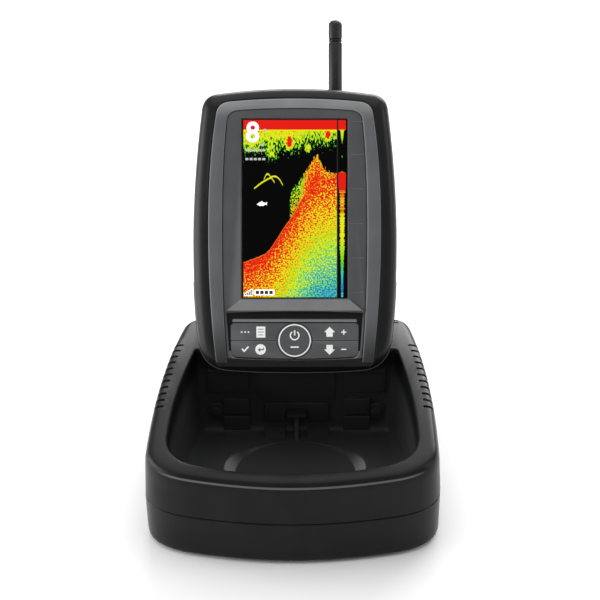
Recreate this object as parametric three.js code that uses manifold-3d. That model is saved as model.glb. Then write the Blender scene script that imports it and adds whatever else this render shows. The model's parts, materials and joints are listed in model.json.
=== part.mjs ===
// A portable fish finder: a five inch sonar display with a folding aerial, held by a tilt
// bracket on the rear deck of a two-shell docking base with a deep open bay.
// Millimetres, +Z up, the user stands at -Y. The origin is under the middle of the object.

import * as THREE from 'three';
import { mergeVertices } from 'three/addons/utils/BufferGeometryUtils.js';
import Module from 'manifold-3d';

const wasm = await Module();
wasm.setup();

// ---------------------------------------------------------------- driving dimensions

const WALL = 2.5; // moulded wall of every housing
const GAP = 0.3; // clearance between neighbouring pieces
const FINE = 16; // facets round a small cylinder

const BASE_HALF_DEPTH = 84;
const BASE_BOTTOM = 1.5; // underside of the lower shell; the feet reach down to 0
const PARTING = 28; // height of the split between the two base shells
const DECK_TOP = 64;
const RIM_FRONT = 54.5; // height of the rim at the very front
const DECK_FRONT = 43; // Y of the deck's front edge, where the bay begins
const BAY_FLOOR = 6.5;
const RAMP_START = 26; // Y where the bay's floor starts to climb towards the front
const RAMP_SLOPE = Math.tan(THREE.MathUtils.degToRad(11));
const DISC_RADIUS = 36; // round dished seat in the bay's floor, with a wall that slopes at 45 degrees
const DISC_Y = -8;
const DISC_RISE = 18; // height of the cone that cuts the dish's wall
const FOOT_RADIUS = 7;
const FOOT_HEIGHT = 1.8;
const FEET = [[58, -58], [-58, -58], [56, 66], [-56, 66]];
const BASE_SCREWS = [[40, -62], [-40, -62], [40, 60], [-40, 60]];

const LEAN = THREE.MathUtils.degToRad(60); // the display's face, measured from level
const FACE_Y = 13; // the lowest point of the display's face
const FACE_Z = 66;
const BEZEL_BACK = -11; // depths are negative, measured from the face
const CASE_BACK = -24;
const PLATE_FRONT = -2.9; // floor of the pocket that holds the trim and the fascia
const PLATE_BACK = -5.2;
const SCREEN_HALF = 31.3;
const SCREEN_LOW = 44.3;
const SCREEN_HIGH = 150.6;
const KEY_FACE = -0.7;
const KEY_BACK = -4.6;
const KEYPAD_HALF = 37.9;
const KEYPAD_LOW = 9.4;
const KEYPAD_HIGH = 29.6;
const POWER_RADIUS = 10.2;
const KEY_MIDDLE = 19.3; // height of the line between the upper and the lower keys
const CASE_SCREWS = [[46, 22], [-46, 22], [46, 149], [-46, 149]];

const HUMP_MIDDLE = 92; // battery hump on the back of the case
const HUMP_HALF_WIDTH = 40;
const HUMP_HALF_HEIGHT = 34;
const HUMP_BACK = -36;
const CELL_RADIUS = 9.1;
const CELL_PITCH = 17.8;
const CELL_DEPTH = -22;

const PIVOT_H = 45; // tilt axis, up the face and behind it
const PIVOT_DEPTH = -40;
const STUD_RADIUS = 2.5;
const EAR_INNER = 26;
const EAR_OUTER = 29;
const KNOB_RADIUS = 9;

const AERIAL_X = 24;
const AERIAL_DEPTH = -30;
const AERIAL_RADIUS = 4.15;
const KNUCKLE_H = 146; // fold axis of the aerial
const TIP_H = 214.2;

// ---------------------------------------------------------------- materials

const plastic = (color, roughness) => new THREE.MeshStandardMaterial({ color, roughness, metalness: 0 });
const metal = (color, roughness) => new THREE.MeshStandardMaterial({ color, roughness, metalness: 1 });

const baseBlack = plastic(0x1b1c1d, 0.55);
const caseBlack = plastic(0x2b2c2e, 0.5);
const trimGrey = plastic(0x77797b, 0.4);
const fasciaGrey = plastic(0x45474a, 0.45);
const keyGrey = plastic(0x3c3e41, 0.6);
const rubberBlack = plastic(0x161616, 0.9);
const boardGreen = plastic(0x1f5a34, 0.6);
const cellBlue = plastic(0x2a4f8f, 0.5);
const glassBlack = plastic(0x0a0a0c, 0.08);
const screwSteel = metal(0x9a9c9e, 0.35);
const connectorBrass = metal(0xc9a75a, 0.3);

// ---------------------------------------------------------------- solid helpers

function solidOf(geometry) {
  const bare = geometry.clone();
  bare.deleteAttribute('normal');
  bare.deleteAttribute('uv');
  const merged = mergeVertices(bare, 1e-4);
  return new wasm.Manifold(new wasm.Mesh({
    numProp: 3,
    vertProperties: merged.attributes.position.array,
    triVerts: new Uint32Array(merged.index.array),
  }));
}

function piece(name, solid, material) {
  const mesh = solid.getMesh();
  const geometry = new THREE.BufferGeometry();
  geometry.setAttribute('position', new THREE.BufferAttribute(mesh.vertProperties, 3));
  geometry.setIndex(new THREE.BufferAttribute(mesh.triVerts, 1));
  geometry.computeVertexNormals();
  const result = new THREE.Mesh(geometry, material);
  result.name = name;
  return result;
}

// A box from its lowest corner to its highest corner.
function box(low, high) {
  const size = high.map((value, axis) => value - low[axis]);
  const geometry = new THREE.BoxGeometry(...size);
  return solidOf(geometry.translate(...low.map((value, axis) => value + size[axis] / 2)));
}

// A straight round bar along one axis, from one coordinate on it to another.
function bar(axis, radius, from, to, centre, facets = FINE) {
  const geometry = new THREE.CylinderGeometry(radius, radius, to - from, facets);
  geometry.translate(0, (from + to) / 2, 0);
  if (axis === 'x') geometry.rotateZ(-Math.PI / 2).translate(0, centre[0], centre[1]);
  if (axis === 'y') geometry.translate(centre[0], 0, centre[1]);
  if (axis === 'z') geometry.rotateX(Math.PI / 2).translate(centre[0], centre[1], 0);
  return solidOf(geometry);
}

// A turned form about an axis parallel to Y through (x, z): [radius, height] pairs, end to end.
function turned(profile, x, z, facets = FINE) {
  const points = profile.map(([radius, height]) => new THREE.Vector2(radius, height));
  return solidOf(new THREE.LatheGeometry(points, facets).translate(x, 0, z));
}

// A closed skin through rings of equal length, each a list of [x, y, z] points that runs
// anticlockwise seen from +Z, lowest ring first. Both ends are capped.
function loft(rings) {
  const count = rings[0].length;
  const positions = rings.flat(2);
  const index = [];
  for (let ring = 0; ring + 1 < rings.length; ring += 1) {
    for (let i = 0; i < count; i += 1) {
      const a = ring * count + i;
      const b = ring * count + (i + 1) % count;
      index.push(a, b, b + count, a, b + count, a + count);
    }
  }
  const cap = (points, first, flip) => {
    const flat = points.map(([x, y]) => new THREE.Vector2(x, y));
    for (const [a, b, c] of THREE.ShapeUtils.triangulateShape(flat, [])) {
      index.push(first + a, first + (flip ? c : b), first + (flip ? b : c));
    }
  };
  cap(rings[0], 0, true);
  cap(rings.at(-1), (rings.length - 1) * count, false);
  const geometry = new THREE.BufferGeometry();
  geometry.setAttribute('position', new THREE.Float32BufferAttribute(positions, 3));
  geometry.setIndex(index);
  return solidOf(geometry);
}

// The right half of an outline, from (0, start) round to the last curve's end. Each curve is
// [control x, control y, end x, end y, steps].
function halfOutline(start, curves) {
  const points = [new THREE.Vector2(0, start)];
  for (const [cx, cy, x, y, steps] of curves) {
    const curve = new THREE.QuadraticBezierCurve(
      points.at(-1),
      new THREE.Vector2(cx, cy),
      new THREE.Vector2(x, y),
    );
    points.push(...curve.getPoints(steps).slice(1));
  }
  return points;
}

function mirrored(half) {
  const left = half.slice(1, -1).reverse().map((point) => new THREE.Vector2(-point.x, point.y));
  return [...half, ...left];
}

// Moves every side of an anticlockwise outline inwards by a distance, or outwards if negative.
function inset(outline, distance) {
  return outline.map((point, i) => {
    const before = point.clone().sub(outline.at(i - 1)).normalize();
    const after = outline[(i + 1) % outline.length].clone().sub(point).normalize();
    const normal = new THREE.Vector2(-before.y - after.y, before.x + after.x);
    return point.clone().addScaledVector(normal, 2 * distance / normal.lengthSq());
  });
}

// One ring of a loft: the outline moved in by a distance, at a height that may vary with y.
function ring(outline, distance, height) {
  const heightAt = typeof height === 'function' ? height : () => height;
  return inset(outline, distance).map((point) => [point.x, point.y, heightAt(point.y)]);
}

function prism(outline, low, high) {
  return loft([ring(outline, 0, low), ring(outline, 0, high)]);
}

// A prism whose top edge is rounded in two steps.
function softPrism(outline, low, high, radius) {
  return loft([
    ring(outline, 0, low),
    ring(outline, 0, high - radius),
    ring(outline, radius * 0.3, high - radius * 0.3),
    ring(outline, radius, high),
  ]);
}

function roundedRectangle(halfWidth, halfHeight, radius, y = 0, steps = 4) {
  const points = [];
  const corners = [[1, -1, -90], [1, 1, 0], [-1, 1, 90], [-1, -1, 180]];
  for (const [sideX, sideY, from] of corners) {
    for (let step = 0; step <= steps; step += 1) {
      const angle = THREE.MathUtils.degToRad(from + 90 * step / steps);
      points.push(new THREE.Vector2(
        sideX * (halfWidth - radius) + radius * Math.cos(angle),
        y + sideY * (halfHeight - radius) + radius * Math.sin(angle),
      ));
    }
  }
  return points;
}

// A [y, z] outline drawn out along X.
function sideProfile(points, from, to) {
  const shape = new THREE.Shape(points.map(([y, z]) => new THREE.Vector2(y, z)));
  const geometry = new THREE.ExtrudeGeometry(shape, { depth: to - from, bevelEnabled: false });
  // The drawing's own axes x, y, z become Y, Z, X.
  geometry.rotateX(Math.PI / 2).rotateZ(Math.PI / 2).translate(from, 0, 0);
  return solidOf(geometry);
}

const union = (solids) => solids.reduce((sum, solid) => sum.add(solid));
const bothSides = (solid) => solid.add(solid.mirror([1, 0, 0]));

// A pan-head screw along an axis parallel to Z, its head below and its shank above.
function screw(x, y, headLow, headHigh, shankHigh, headRadius, shankRadius) {
  const head = bar('z', headRadius, headLow, headHigh, [x, y], 14);
  const shank = bar('z', shankRadius, headHigh - 0.2, shankHigh, [x, y], 10);
  const recess = box([x - headRadius * 0.55, y - 0.35, headLow - 1], [x + headRadius * 0.55, y + 0.35, headLow + 0.6]);
  return head.add(shank).subtract(recess);
}

// ---------------------------------------------------------------- docking base

const baseOutline = mirrored(halfOutline(-BASE_HALF_DEPTH, [
  [25, -84, 55, -77.4, 4],
  [84, -71.6, 84.2, -50, 5],
  [84.3, 14, 72.6, 71.5, 5],
  [69.8, BASE_HALF_DEPTH, 57, BASE_HALF_DEPTH, 3],
  [28, BASE_HALF_DEPTH, 0, BASE_HALF_DEPTH, 1],
]));

const bayOutline = mirrored(halfOutline(-73, [
  [30, -73, 54, -65.4, 3],
  [70, -60.3, 70.8, -42, 4],
  [70.6, -4, 61, DECK_FRONT, 4],
  [30, DECK_FRONT, 0, DECK_FRONT, 1],
]));

// The rim is level round the deck and falls ever more steeply towards the front.
function rimHeight(y) {
  const forward = Math.max(0, DECK_FRONT - y) / (DECK_FRONT + BASE_HALF_DEPTH);
  return DECK_TOP - (DECK_TOP - RIM_FRONT) * forward ** 1.2;
}

const rimLess = (drop) => (y) => rimHeight(y) - drop;

// Everything below the rim's surface, as a profile drawn across the whole width.
function underRim(drop) {
  const points = [[-95, -5], [95, -5], [95, DECK_TOP - drop]];
  for (let y = DECK_FRONT; y > -96; y -= 11.5) points.push([y, rimHeight(y) - drop]);
  return sideProfile(points, -95, 95);
}

// The base's outer form, or with a wall its hollow inside.
function baseForm(wall) {
  const walls = loft([
    ring(baseOutline, 3 + wall, BASE_BOTTOM + wall),
    ring(baseOutline, 1.3 + wall, BASE_BOTTOM + wall + 0.7),
    ring(baseOutline, 0.4 + wall, BASE_BOTTOM + wall + 3),
    ring(baseOutline, wall, PARTING),
    ring(baseOutline, wall + 1.3, rimLess(wall + 6.5)),
    ring(baseOutline, wall + 2, rimLess(wall + 2.4)),
    ring(baseOutline, wall + 3.3, rimLess(wall + 0.7)),
    ring(baseOutline, wall + 5.8, rimLess(wall - 0.05)),
    ring(baseOutline, wall + 5.8, 90),
  ]);
  return walls.intersect(underRim(wall));
}

const bayFloorAt = (y) => BAY_FLOOR + RAMP_SLOPE * Math.max(0, RAMP_START - y);

// The open bay, or with a wall the outside of the tub round it.
function bayForm(wall) {
  const walls = loft([
    ring(bayOutline, 7 - wall, -5),
    ring(bayOutline, 7 - wall, (y) => bayFloorAt(y) - wall),
    ring(bayOutline, 3.4 - wall, (y) => bayFloorAt(y) + 1.6 - wall),
    ring(bayOutline, 1.6 - wall, (y) => bayFloorAt(y) + 5),
    ring(bayOutline, -wall, rimLess(2.2)),
    ring(bayOutline, -wall - 0.3, rimLess(0.8)),
    ring(bayOutline, -wall - 1.1, rimLess(-0.05)),
    ring(bayOutline, -wall - 1.1, rimLess(-12)),
  ]);
  const floor = [[95, 95], [-95, 95], [-95, bayFloorAt(-95) - wall]];
  floor.push([RAMP_START, BAY_FLOOR - wall], [95, BAY_FLOOR - wall]);
  const low = DISC_RADIUS + wall;
  const dish = new THREE.CylinderGeometry(low + DISC_RISE, low, DISC_RISE, 32);
  dish.rotateX(Math.PI / 2).translate(0, DISC_Y, BAY_FLOOR - wall + DISC_RISE / 2);
  return walls.intersect(sideProfile(floor, -95, 95).add(solidOf(dish)));
}

// Shallow grooves over both shoulders, evenly spaced from beside the deck's edge forwards.
function shoulderGrooves() {
  const slabs = [];
  for (let i = 0; i < 11; i += 1) {
    const y = 48 - 6.2 * i;
    slabs.push(box([-95, y - 0.7, rimHeight(y) - 12], [95, y + 0.7, 80]));
  }
  return union(slabs).subtract(baseForm(1.1)).subtract(prism(inset(baseOutline, 7.5), -5, 90));
}

// Pads, blocks and a T-shaped rib that stand out of the bay's rear wall and key the docked unit.
function rearWallRelief() {
  const wallY = DECK_FRONT + 1;
  const wedge = [[38.5, 10.5], [28, 5], [wallY, 5], [wallY, 10.5]];
  const gusset = [[36, 20], [36, 16.5], [28, 5], [wallY, 5], [wallY, 20]];
  const side = [
    box([29, 40, 34.7], [54.5, wallY, 50.4]),
    box([29, 39.4, 18.5], [45.3, wallY, 30.3]),
    box([29, 38.6, 5], [45.3, wallY, 17.6]),
    bar('y', 6.5, 40.4, wallY, [49.6, 20], 16),
    sideProfile(wedge, 6.5, 20),
  ];
  const notch = box([-6.8, 35, 10], [6.8, DECK_FRONT, 21.8]);
  const middle = [
    box([-24, 41, 28], [24, wallY, 54]),
    box([-20, 39.8, 13.4], [20, wallY, 27]).subtract(notch),
    box([-6, 36, 18.1], [6, wallY, 20]),
    sideProfile(gusset, -1.5, 1.5),
  ];
  return union([...side.map(bothSides), ...middle]);
}

function ventSlots() {
  const slots = [74.8, 77.2].map((y) => box([44, y - 0.6, 58], [63.6, y + 0.6, 70]));
  return bothSides(union(slots));
}

const BRACKET_SCREWS = [[18, 60], [-18, 60], [18, 75], [-18, 75]];
const BOSS_BOTTOM = 5.3;

function baseUpperShell() {
  const block = baseForm(0);
  const skirt = block.subtract(baseForm(WALL)).trimByPlane([0, 0, 1], PARTING + GAP / 2);
  const posts = BASE_SCREWS.map(([x, y]) => bar('z', 4.5, BOSS_BOTTOM, y < 0 ? 24 : 63, [x, y]));
  const tub = bayForm(WALL).intersect(block);
  const bores = BASE_SCREWS.map(([x, y]) => bar('z', 1.9, 0, 19, [x, y], 12));
  const deckHoles = BRACKET_SCREWS.map(([x, y]) => bar('z', 1.9, 55, 70, [x, y], 12));
  return union([skirt, tub, ...posts])
    .subtract(bayForm(0))
    .add(rearWallRelief().intersect(bayForm(1)))
    .subtract(union([...bores, ...deckHoles, ventSlots(), shoulderGrooves()]));
}

function baseLowerShell() {
  const tray = baseForm(0).subtract(baseForm(WALL)).trimByPlane([0, 0, -1], -PARTING + GAP / 2);
  const pads = BASE_SCREWS.map(([x, y]) => bar('z', 5, 2, 5, [x, y]));
  const shanks = BASE_SCREWS.map(([x, y]) => bar('z', 1.9, 0, 8, [x, y], 12));
  const heads = BASE_SCREWS.map(([x, y]) => bar('z', 3.4, 0, 3.6, [x, y], 14));
  const pockets = FEET.map(([x, y]) => bar('z', FOOT_RADIUS + GAP, 0, FOOT_HEIGHT + GAP, [x, y], 16));
  return union([tray, ...pads]).subtract(union([...shanks, ...heads, ...pockets]));
}

function foot([x, y]) {
  const profile = [[0, 0], [FOOT_RADIUS - 0.6, 0], [FOOT_RADIUS, 0.6], [FOOT_RADIUS, FOOT_HEIGHT], [0, FOOT_HEIGHT]];
  const points = profile.map(([radius, height]) => new THREE.Vector2(radius, height));
  return solidOf(new THREE.LatheGeometry(points, 16).rotateX(Math.PI / 2).translate(x, y, 0));
}

// ---------------------------------------------------------------- tilt bracket and knobs

const display = new THREE.Group();
display.rotation.x = LEAN;
display.position.set(0, FACE_Y, FACE_Z);
display.updateMatrixWorld();
const pivot = new THREE.Vector3(0, PIVOT_H, PIVOT_DEPTH).applyMatrix4(display.matrixWorld);

const BRACKET_BOTTOM = DECK_TOP + GAP;
const BRACKET_THICK = 3;
const BRACKET_FRONT = 56;
const BRACKET_REAR = 79;
const EAR_RADIUS = 8;

// A yoke: a foot plate on the deck and two ears with round ends on the tilt axis.
function tiltBracket() {
  const plate = box(
    [-EAR_OUTER, BRACKET_FRONT, BRACKET_BOTTOM],
    [EAR_OUTER, BRACKET_REAR, BRACKET_BOTTOM + BRACKET_THICK],
  );
  const outline = [[BRACKET_FRONT, BRACKET_BOTTOM], [BRACKET_REAR, BRACKET_BOTTOM]];
  for (let degrees = 0; degrees <= 180; degrees += 20) {
    const angle = THREE.MathUtils.degToRad(degrees);
    outline.push([pivot.y + EAR_RADIUS * Math.cos(angle), pivot.z + EAR_RADIUS * Math.sin(angle)]);
  }
  const ears = bothSides(sideProfile(outline, EAR_INNER, EAR_OUTER));
  const bore = bar('x', STUD_RADIUS + 0.4, -40, 40, [pivot.y, pivot.z]);
  const holes = BRACKET_SCREWS.map(([x, y]) => bar('z', 1.9, 60, 70, [x, y], 12));
  return plate.add(ears).subtract(union([bore, ...holes]));
}

// A clamping knob with eight lobes and the stud that it turns, on the right-hand side.
function tiltKnob(side) {
  const lobes = [];
  for (let i = 0; i < 32; i += 1) {
    const angle = 2 * Math.PI * i / 32;
    const radius = KNOB_RADIUS - 0.55 + 0.55 * Math.cos(8 * angle);
    lobes.push(new THREE.Vector2(radius * Math.cos(angle), radius * Math.sin(angle)));
  }
  const head = loft([
    ring(lobes, 1.2, EAR_OUTER + 0.8),
    ring(lobes, 0, EAR_OUTER + 2.4),
    ring(lobes, 0, EAR_OUTER + 9.5),
    ring(lobes, 1.4, EAR_OUTER + 11.5),
  ]);
  const stud = bar('z', STUD_RADIUS, 17, EAR_OUTER + 2, [0, 0]);
  const collar = bar('z', 5, EAR_OUTER + GAP, EAR_OUTER + 2, [0, 0]);
  const knob = union([head, stud, collar]).rotate([0, 90, 0]).translate([0, pivot.y, pivot.z]);
  return side > 0 ? knob : knob.mirror([1, 0, 0]);
}

function baseScrew([x, y]) {
  return screw(x, y, 1.7, 3.3, 16, 3, 1.5);
}

function bracketScrew([x, y]) {
  const plateTop = BRACKET_BOTTOM + BRACKET_THICK;
  return screw(x, y, -plateTop - GAP - 1.8, -plateTop - GAP, -56, 3, 1.5).mirror([0, 0, 1]);
}

// ---------------------------------------------------------------- display: outlines
// From here on x runs across the face, y up it from its lowest point, and z out of it.

const caseOutline = mirrored(halfOutline(0, [
  [28, 0, 42, 1.6, 3],
  [55, 3.5, 57.8, 18.5, 6],
  [60.9, 45, 60.9, 78, 3],
  [60.9, 115, 55.7, 157, 4],
  [54.4, 165.4, 46, 166.4, 5],
  [24, 169.6, 0, 169.6, 3],
]));

const trimOutline = mirrored(halfOutline(4.6, [
  [22, 4.6, 44, 4.9, 1],
  [46.2, 5, 46.8, 8, 3],
  [51.2, 45, 51.2, 85, 3],
  [51.2, 125, 46.4, 154, 3],
  [45.4, 160, 38.5, 160.8, 4],
  [20, 162.6, 0, 162.6, 3],
]));

const fasciaOutline = mirrored(halfOutline(4.9, [
  [20, 4.9, 37, 5.1, 1],
  [39.4, 5.3, 39.9, 8, 3],
  [42.8, 40, 42.8, 85, 3],
  [42.8, 125, 40, 150.5, 3],
  [39.2, 155, 33, 155.6, 4],
  [17, 156.9, 0, 156.9, 3],
]));

const screenOutline = roundedRectangle(SCREEN_HALF, (SCREEN_HIGH - SCREEN_LOW) / 2, 0.6, (SCREEN_HIGH + SCREEN_LOW) / 2, 1);

const keypadOutline = mirrored(halfOutline(KEYPAD_LOW - 0.9, [
  [20, KEYPAD_LOW - 0.9, 34.5, KEYPAD_LOW + 0.2, 3],
  [37.2, KEYPAD_LOW + 0.4, KEYPAD_HALF - 0.3, KEYPAD_LOW + 3.4, 3],
  [KEYPAD_HALF, 20, KEYPAD_HALF, KEYPAD_HIGH - 2.6, 1],
  [KEYPAD_HALF, KEYPAD_HIGH, KEYPAD_HALF - 2.6, KEYPAD_HIGH, 3],
  [18, KEYPAD_HIGH, 0, KEYPAD_HIGH, 1],
]));

// ---------------------------------------------------------------- display: housing

const keypadOpening = (low, high) => prism(inset(keypadOutline, -GAP), low, high)
  .add(bar('z', POWER_RADIUS + GAP, low, high, [0, KEY_MIDDLE], 36));

function frontBezel() {
  const form = loft([
    ring(caseOutline, 0, BEZEL_BACK),
    ring(caseOutline, 0.3, -7),
    ring(caseOutline, 1.4, -3.8),
    ring(caseOutline, 3.4, -1.6),
    ring(caseOutline, 6.2, -0.3),
  ]);
  const cavity = prism(inset(caseOutline, WALL), BEZEL_BACK - 1, PLATE_BACK);
  const pocket = prism(inset(trimOutline, -GAP), PLATE_FRONT, 5);
  const window = box([-35.3, SCREEN_LOW - 3.7, -8], [35.3, SCREEN_HIGH + 3.7, 2]);
  const posts = CASE_SCREWS.map(([x, y]) => bar('z', 3.6, BEZEL_BACK, PLATE_BACK + 0.5, [x, y], 16));
  const bores = CASE_SCREWS.map(([x, y]) => bar('z', 1.8, BEZEL_BACK - 1, PLATE_BACK - 0.6, [x, y], 12));
  return form.subtract(cavity)
    .add(union(posts))
    .subtract(union([pocket, window, keypadOpening(-8, 2), ...bores]));
}

// The light band: an inverted U between the bezel and the fascia.
function trimFrame() {
  const inner = inset(fasciaOutline, -GAP);
  const foot = box([-38.5, 0, -5], [38.5, 12, 5]);
  return softPrism(trimOutline, PLATE_FRONT + GAP, 0.3, 0.6).subtract(union([prism(inner, -5, 5), foot]));
}

const SILL_TOP = 43.8;
const SILL_LOW = 36.8;
const SILL_PROUD = 1.5;
const FASCIA_FACE = -0.8;

// The face plate, with the sloping sill under the screen and the shadowed step below it.
function fascia() {
  const plate = prism(fasciaOutline, PLATE_FRONT + GAP, FASCIA_FACE);
  const half = [
    new THREE.Vector2(-41.2, SILL_LOW),
    new THREE.Vector2(41.2, SILL_LOW),
    new THREE.Vector2(32, SILL_TOP),
    new THREE.Vector2(-32, SILL_TOP),
  ];
  const slope = sideProfile([
    [SILL_LOW - 3.4, FASCIA_FACE - 0.5],
    [SILL_TOP + 0.2, FASCIA_FACE - 0.5],
    [SILL_TOP, FASCIA_FACE],
    [SILL_LOW, SILL_PROUD],
    [SILL_LOW - 0.5, SILL_PROUD - 0.4],
  ], -42, 42);
  const sill = prism(half, -3, 3).intersect(slope);
  const step = prism([
    new THREE.Vector2(-36.5, 31),
    new THREE.Vector2(36.5, 31),
    new THREE.Vector2(39, SILL_LOW - 0.6),
    new THREE.Vector2(-39, SILL_LOW - 0.6),
  ], -1.8, 3);
  const window = prism(inset(screenOutline, -GAP), -5, 5);
  return plate.subtract(step).add(sill).subtract(union([window, keypadOpening(-5, 5)]));
}

const humpOutline = roundedRectangle(HUMP_HALF_WIDTH, HUMP_HALF_HEIGHT, 8, HUMP_MIDDLE);
const doorOutline = roundedRectangle(37, 31, 5, HUMP_MIDDLE);
const doorOpening = roundedRectangle(33.4, 29, 4, HUMP_MIDDLE);
const POCKET_FLOOR = -33.8;
const DOOR_SCREW_X = 35.3;
const SOCKET_H = 112;
const SOCKET_DEPTH = -28.4;
const SOCKET_RADIUS = 3.3;
const LUG_SCREWS = [[10, 38], [-10, 38], [10, 52], [-10, 52]];

function rearCase() {
  const shell = loft([
    ring(caseOutline, 6.2, CASE_BACK),
    ring(caseOutline, 3.4, CASE_BACK + 0.8),
    ring(caseOutline, 1.5, CASE_BACK + 3),
    ring(caseOutline, 0.4, CASE_BACK + 6.5),
    ring(caseOutline, 0, BEZEL_BACK - GAP),
  ]);
  const hump = loft([
    ring(humpOutline, 3, HUMP_BACK),
    ring(humpOutline, 1, HUMP_BACK + 0.8),
    ring(humpOutline, 0, HUMP_BACK + 2.8),
    ring(humpOutline, 0, CASE_BACK + 2),
  ]);
  const inside = loft([
    ring(caseOutline, 6.4, CASE_BACK + WALL),
    ring(caseOutline, 4, CASE_BACK + WALL + 2),
    ring(caseOutline, WALL, CASE_BACK + 8),
    ring(caseOutline, WALL, BEZEL_BACK + 1),
  ]);
  const humpInside = prism(inset(humpOutline, 2.4), -32, CASE_BACK + 3);
  const posts = CASE_SCREWS.map(([x, y]) => bar('z', 4.8, CASE_BACK + 1, BEZEL_BACK - 1, [x, y], 16));
  const holes = [
    prism(inset(doorOutline, -GAP), HUMP_BACK - 1, POCKET_FLOOR),
    prism(doorOpening, HUMP_BACK - 1, -30),
    bar('x', SOCKET_RADIUS + GAP, -50, -36, [SOCKET_H, SOCKET_DEPTH]),
    bar('y', 2.9, 115, 130, [AERIAL_X, AERIAL_DEPTH], 14),
    ...CASE_SCREWS.map(([x, y]) => bar('z', 1.8, CASE_BACK - 1, BEZEL_BACK + 1, [x, y], 12)),
    ...CASE_SCREWS.map(([x, y]) => bar('z', 3.4, CASE_BACK - 1, CASE_BACK + 2.4, [x, y], 14)),
    ...LUG_SCREWS.map(([x, y]) => bar('z', 1.8, CASE_BACK - 1, CASE_BACK + 4, [x, y], 12)),
    ...[-1, 1].map((side) => bar('z', 1.3, -38, -30, [side * DOOR_SCREW_X, HUMP_MIDDLE], 10)),
  ];
  return shell.add(hump)
    .subtract(union([inside, humpInside]))
    .add(union(posts))
    .subtract(union(holes));
}

function caseGasket() {
  const outside = prism(inset(caseOutline, WALL + GAP), -12.3, -10);
  return outside.subtract(prism(inset(caseOutline, WALL + GAP + 1.6), -13, -9));
}

function caseScrew([x, y]) {
  return screw(x, y, CASE_BACK + 0.2, CASE_BACK + 2.1, -7, 3, 1.5);
}

// ---------------------------------------------------------------- display: inside

function screenGlass() {
  return softPrism(screenOutline, -2.3, -0.9, 0.3);
}

function lcdModule() {
  return box([-35, SCREEN_LOW - 3.4, -8], [35, SCREEN_HIGH + 3.4, PLATE_FRONT]);
}

function mainBoard() {
  const board = box([-41, 9, -10.2], [41, 160, -8.6]);
  const holes = LUG_SCREWS.map(([x, y]) => bar('z', 2, -12, -7, [x, y], 10));
  return board.subtract(union(holes));
}

function keypadMat() {
  const mat = box([-40, 7, -8.1], [40, 32, -6.6]);
  const domes = [[-27, 24.4], [-27, 14.2], [0, KEY_MIDDLE], [27, 24.4], [27, 14.2]];
  return union([mat, ...domes.map((centre) => bar('z', 3.2, -7, -5.9, centre, 14))]);
}

function batteryPack() {
  const cells = [-1, 0, 1].map((row) => bar(
    'x',
    CELL_RADIUS,
    -32.5,
    32.5,
    [HUMP_MIDDLE + row * CELL_PITCH, CELL_DEPTH],
    18,
  ));
  return union(cells);
}

function batteryDoor() {
  const plate = prism(doorOutline, HUMP_BACK + 0.1, POCKET_FLOOR - GAP);
  const grips = [-4, 0, 4].map((offset) => box(
    [-14, HUMP_MIDDLE - 20 + offset - 0.8, HUMP_BACK - 1],
    [14, HUMP_MIDDLE - 20 + offset + 0.8, HUMP_BACK + 0.8],
  ));
  const holes = [-1, 1].map((side) => bar('z', 1.3, -38, -30, [side * DOOR_SCREW_X, HUMP_MIDDLE], 10));
  return plate.subtract(union([...grips, ...holes]));
}

function doorScrew(side) {
  return screw(side * DOOR_SCREW_X, HUMP_MIDDLE, HUMP_BACK - 0.9, HUMP_BACK - 0.2, -31, 1.7, 1);
}

function buzzer() {
  const body = bar('z', 6, -14.6, -10.5, [-30, 145], 18);
  return body.subtract(bar('z', 1.2, -16, -13.6, [-30, 145], 10));
}

// ---------------------------------------------------------------- display: keys

function key(left, right, low, high) {
  const around = prism(keypadOutline, KEY_BACK, KEY_FACE)
    .intersect(box([left, low, -9], [right, high, 3]));
  return around.subtract(bar('z', POWER_RADIUS + GAP, -9, 3, [0, KEY_MIDDLE], 36));
}

function powerKey() {
  const outline = [];
  for (let i = 0; i < 36; i += 1) {
    const angle = 2 * Math.PI * i / 36;
    outline.push(new THREE.Vector2(
      POWER_RADIUS * Math.cos(angle),
      KEY_MIDDLE + POWER_RADIUS * Math.sin(angle),
    ));
  }
  return softPrism(outline, KEY_BACK, KEY_FACE + 0.3, 0.5);
}

// ---------------------------------------------------------------- display: pivot lug

const LUG_BACK = CASE_BACK - GAP;
const LUG_PLATE_BACK = CASE_BACK - 3;

function pivotLug() {
  const plate = box([-25.6, 33, LUG_PLATE_BACK], [25.6, 57, LUG_BACK]);
  const outline = [[PIVOT_H - 9, LUG_PLATE_BACK + 0.5], [PIVOT_H + 9, LUG_PLATE_BACK + 0.5]];
  for (let degrees = 0; degrees <= 180; degrees += 20) {
    const angle = THREE.MathUtils.degToRad(degrees);
    outline.push([PIVOT_H + 7 * Math.cos(angle), PIVOT_DEPTH - 7 * Math.sin(angle)]);
  }
  const lugs = bothSides(sideProfile(outline.reverse(), 18.3, 25.6));
  const bore = bar('x', STUD_RADIUS + 0.4, -40, 40, [PIVOT_H, PIVOT_DEPTH]);
  const holes = LUG_SCREWS.map(([x, y]) => bar('z', 1.8, -30, -20, [x, y], 12));
  return plate.add(lugs).subtract(union([bore, ...holes]));
}

function lugScrew([x, y]) {
  return screw(x, y, LUG_PLATE_BACK - GAP - 1.6, LUG_PLATE_BACK - GAP, -17, 3, 1.4);
}

// ---------------------------------------------------------------- display: charging socket

const SOCKET_OUTER = -39.9;
const COVER_HINGE_X = -41.2;
const COVER_HINGE_DEPTH = -25.1;

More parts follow.
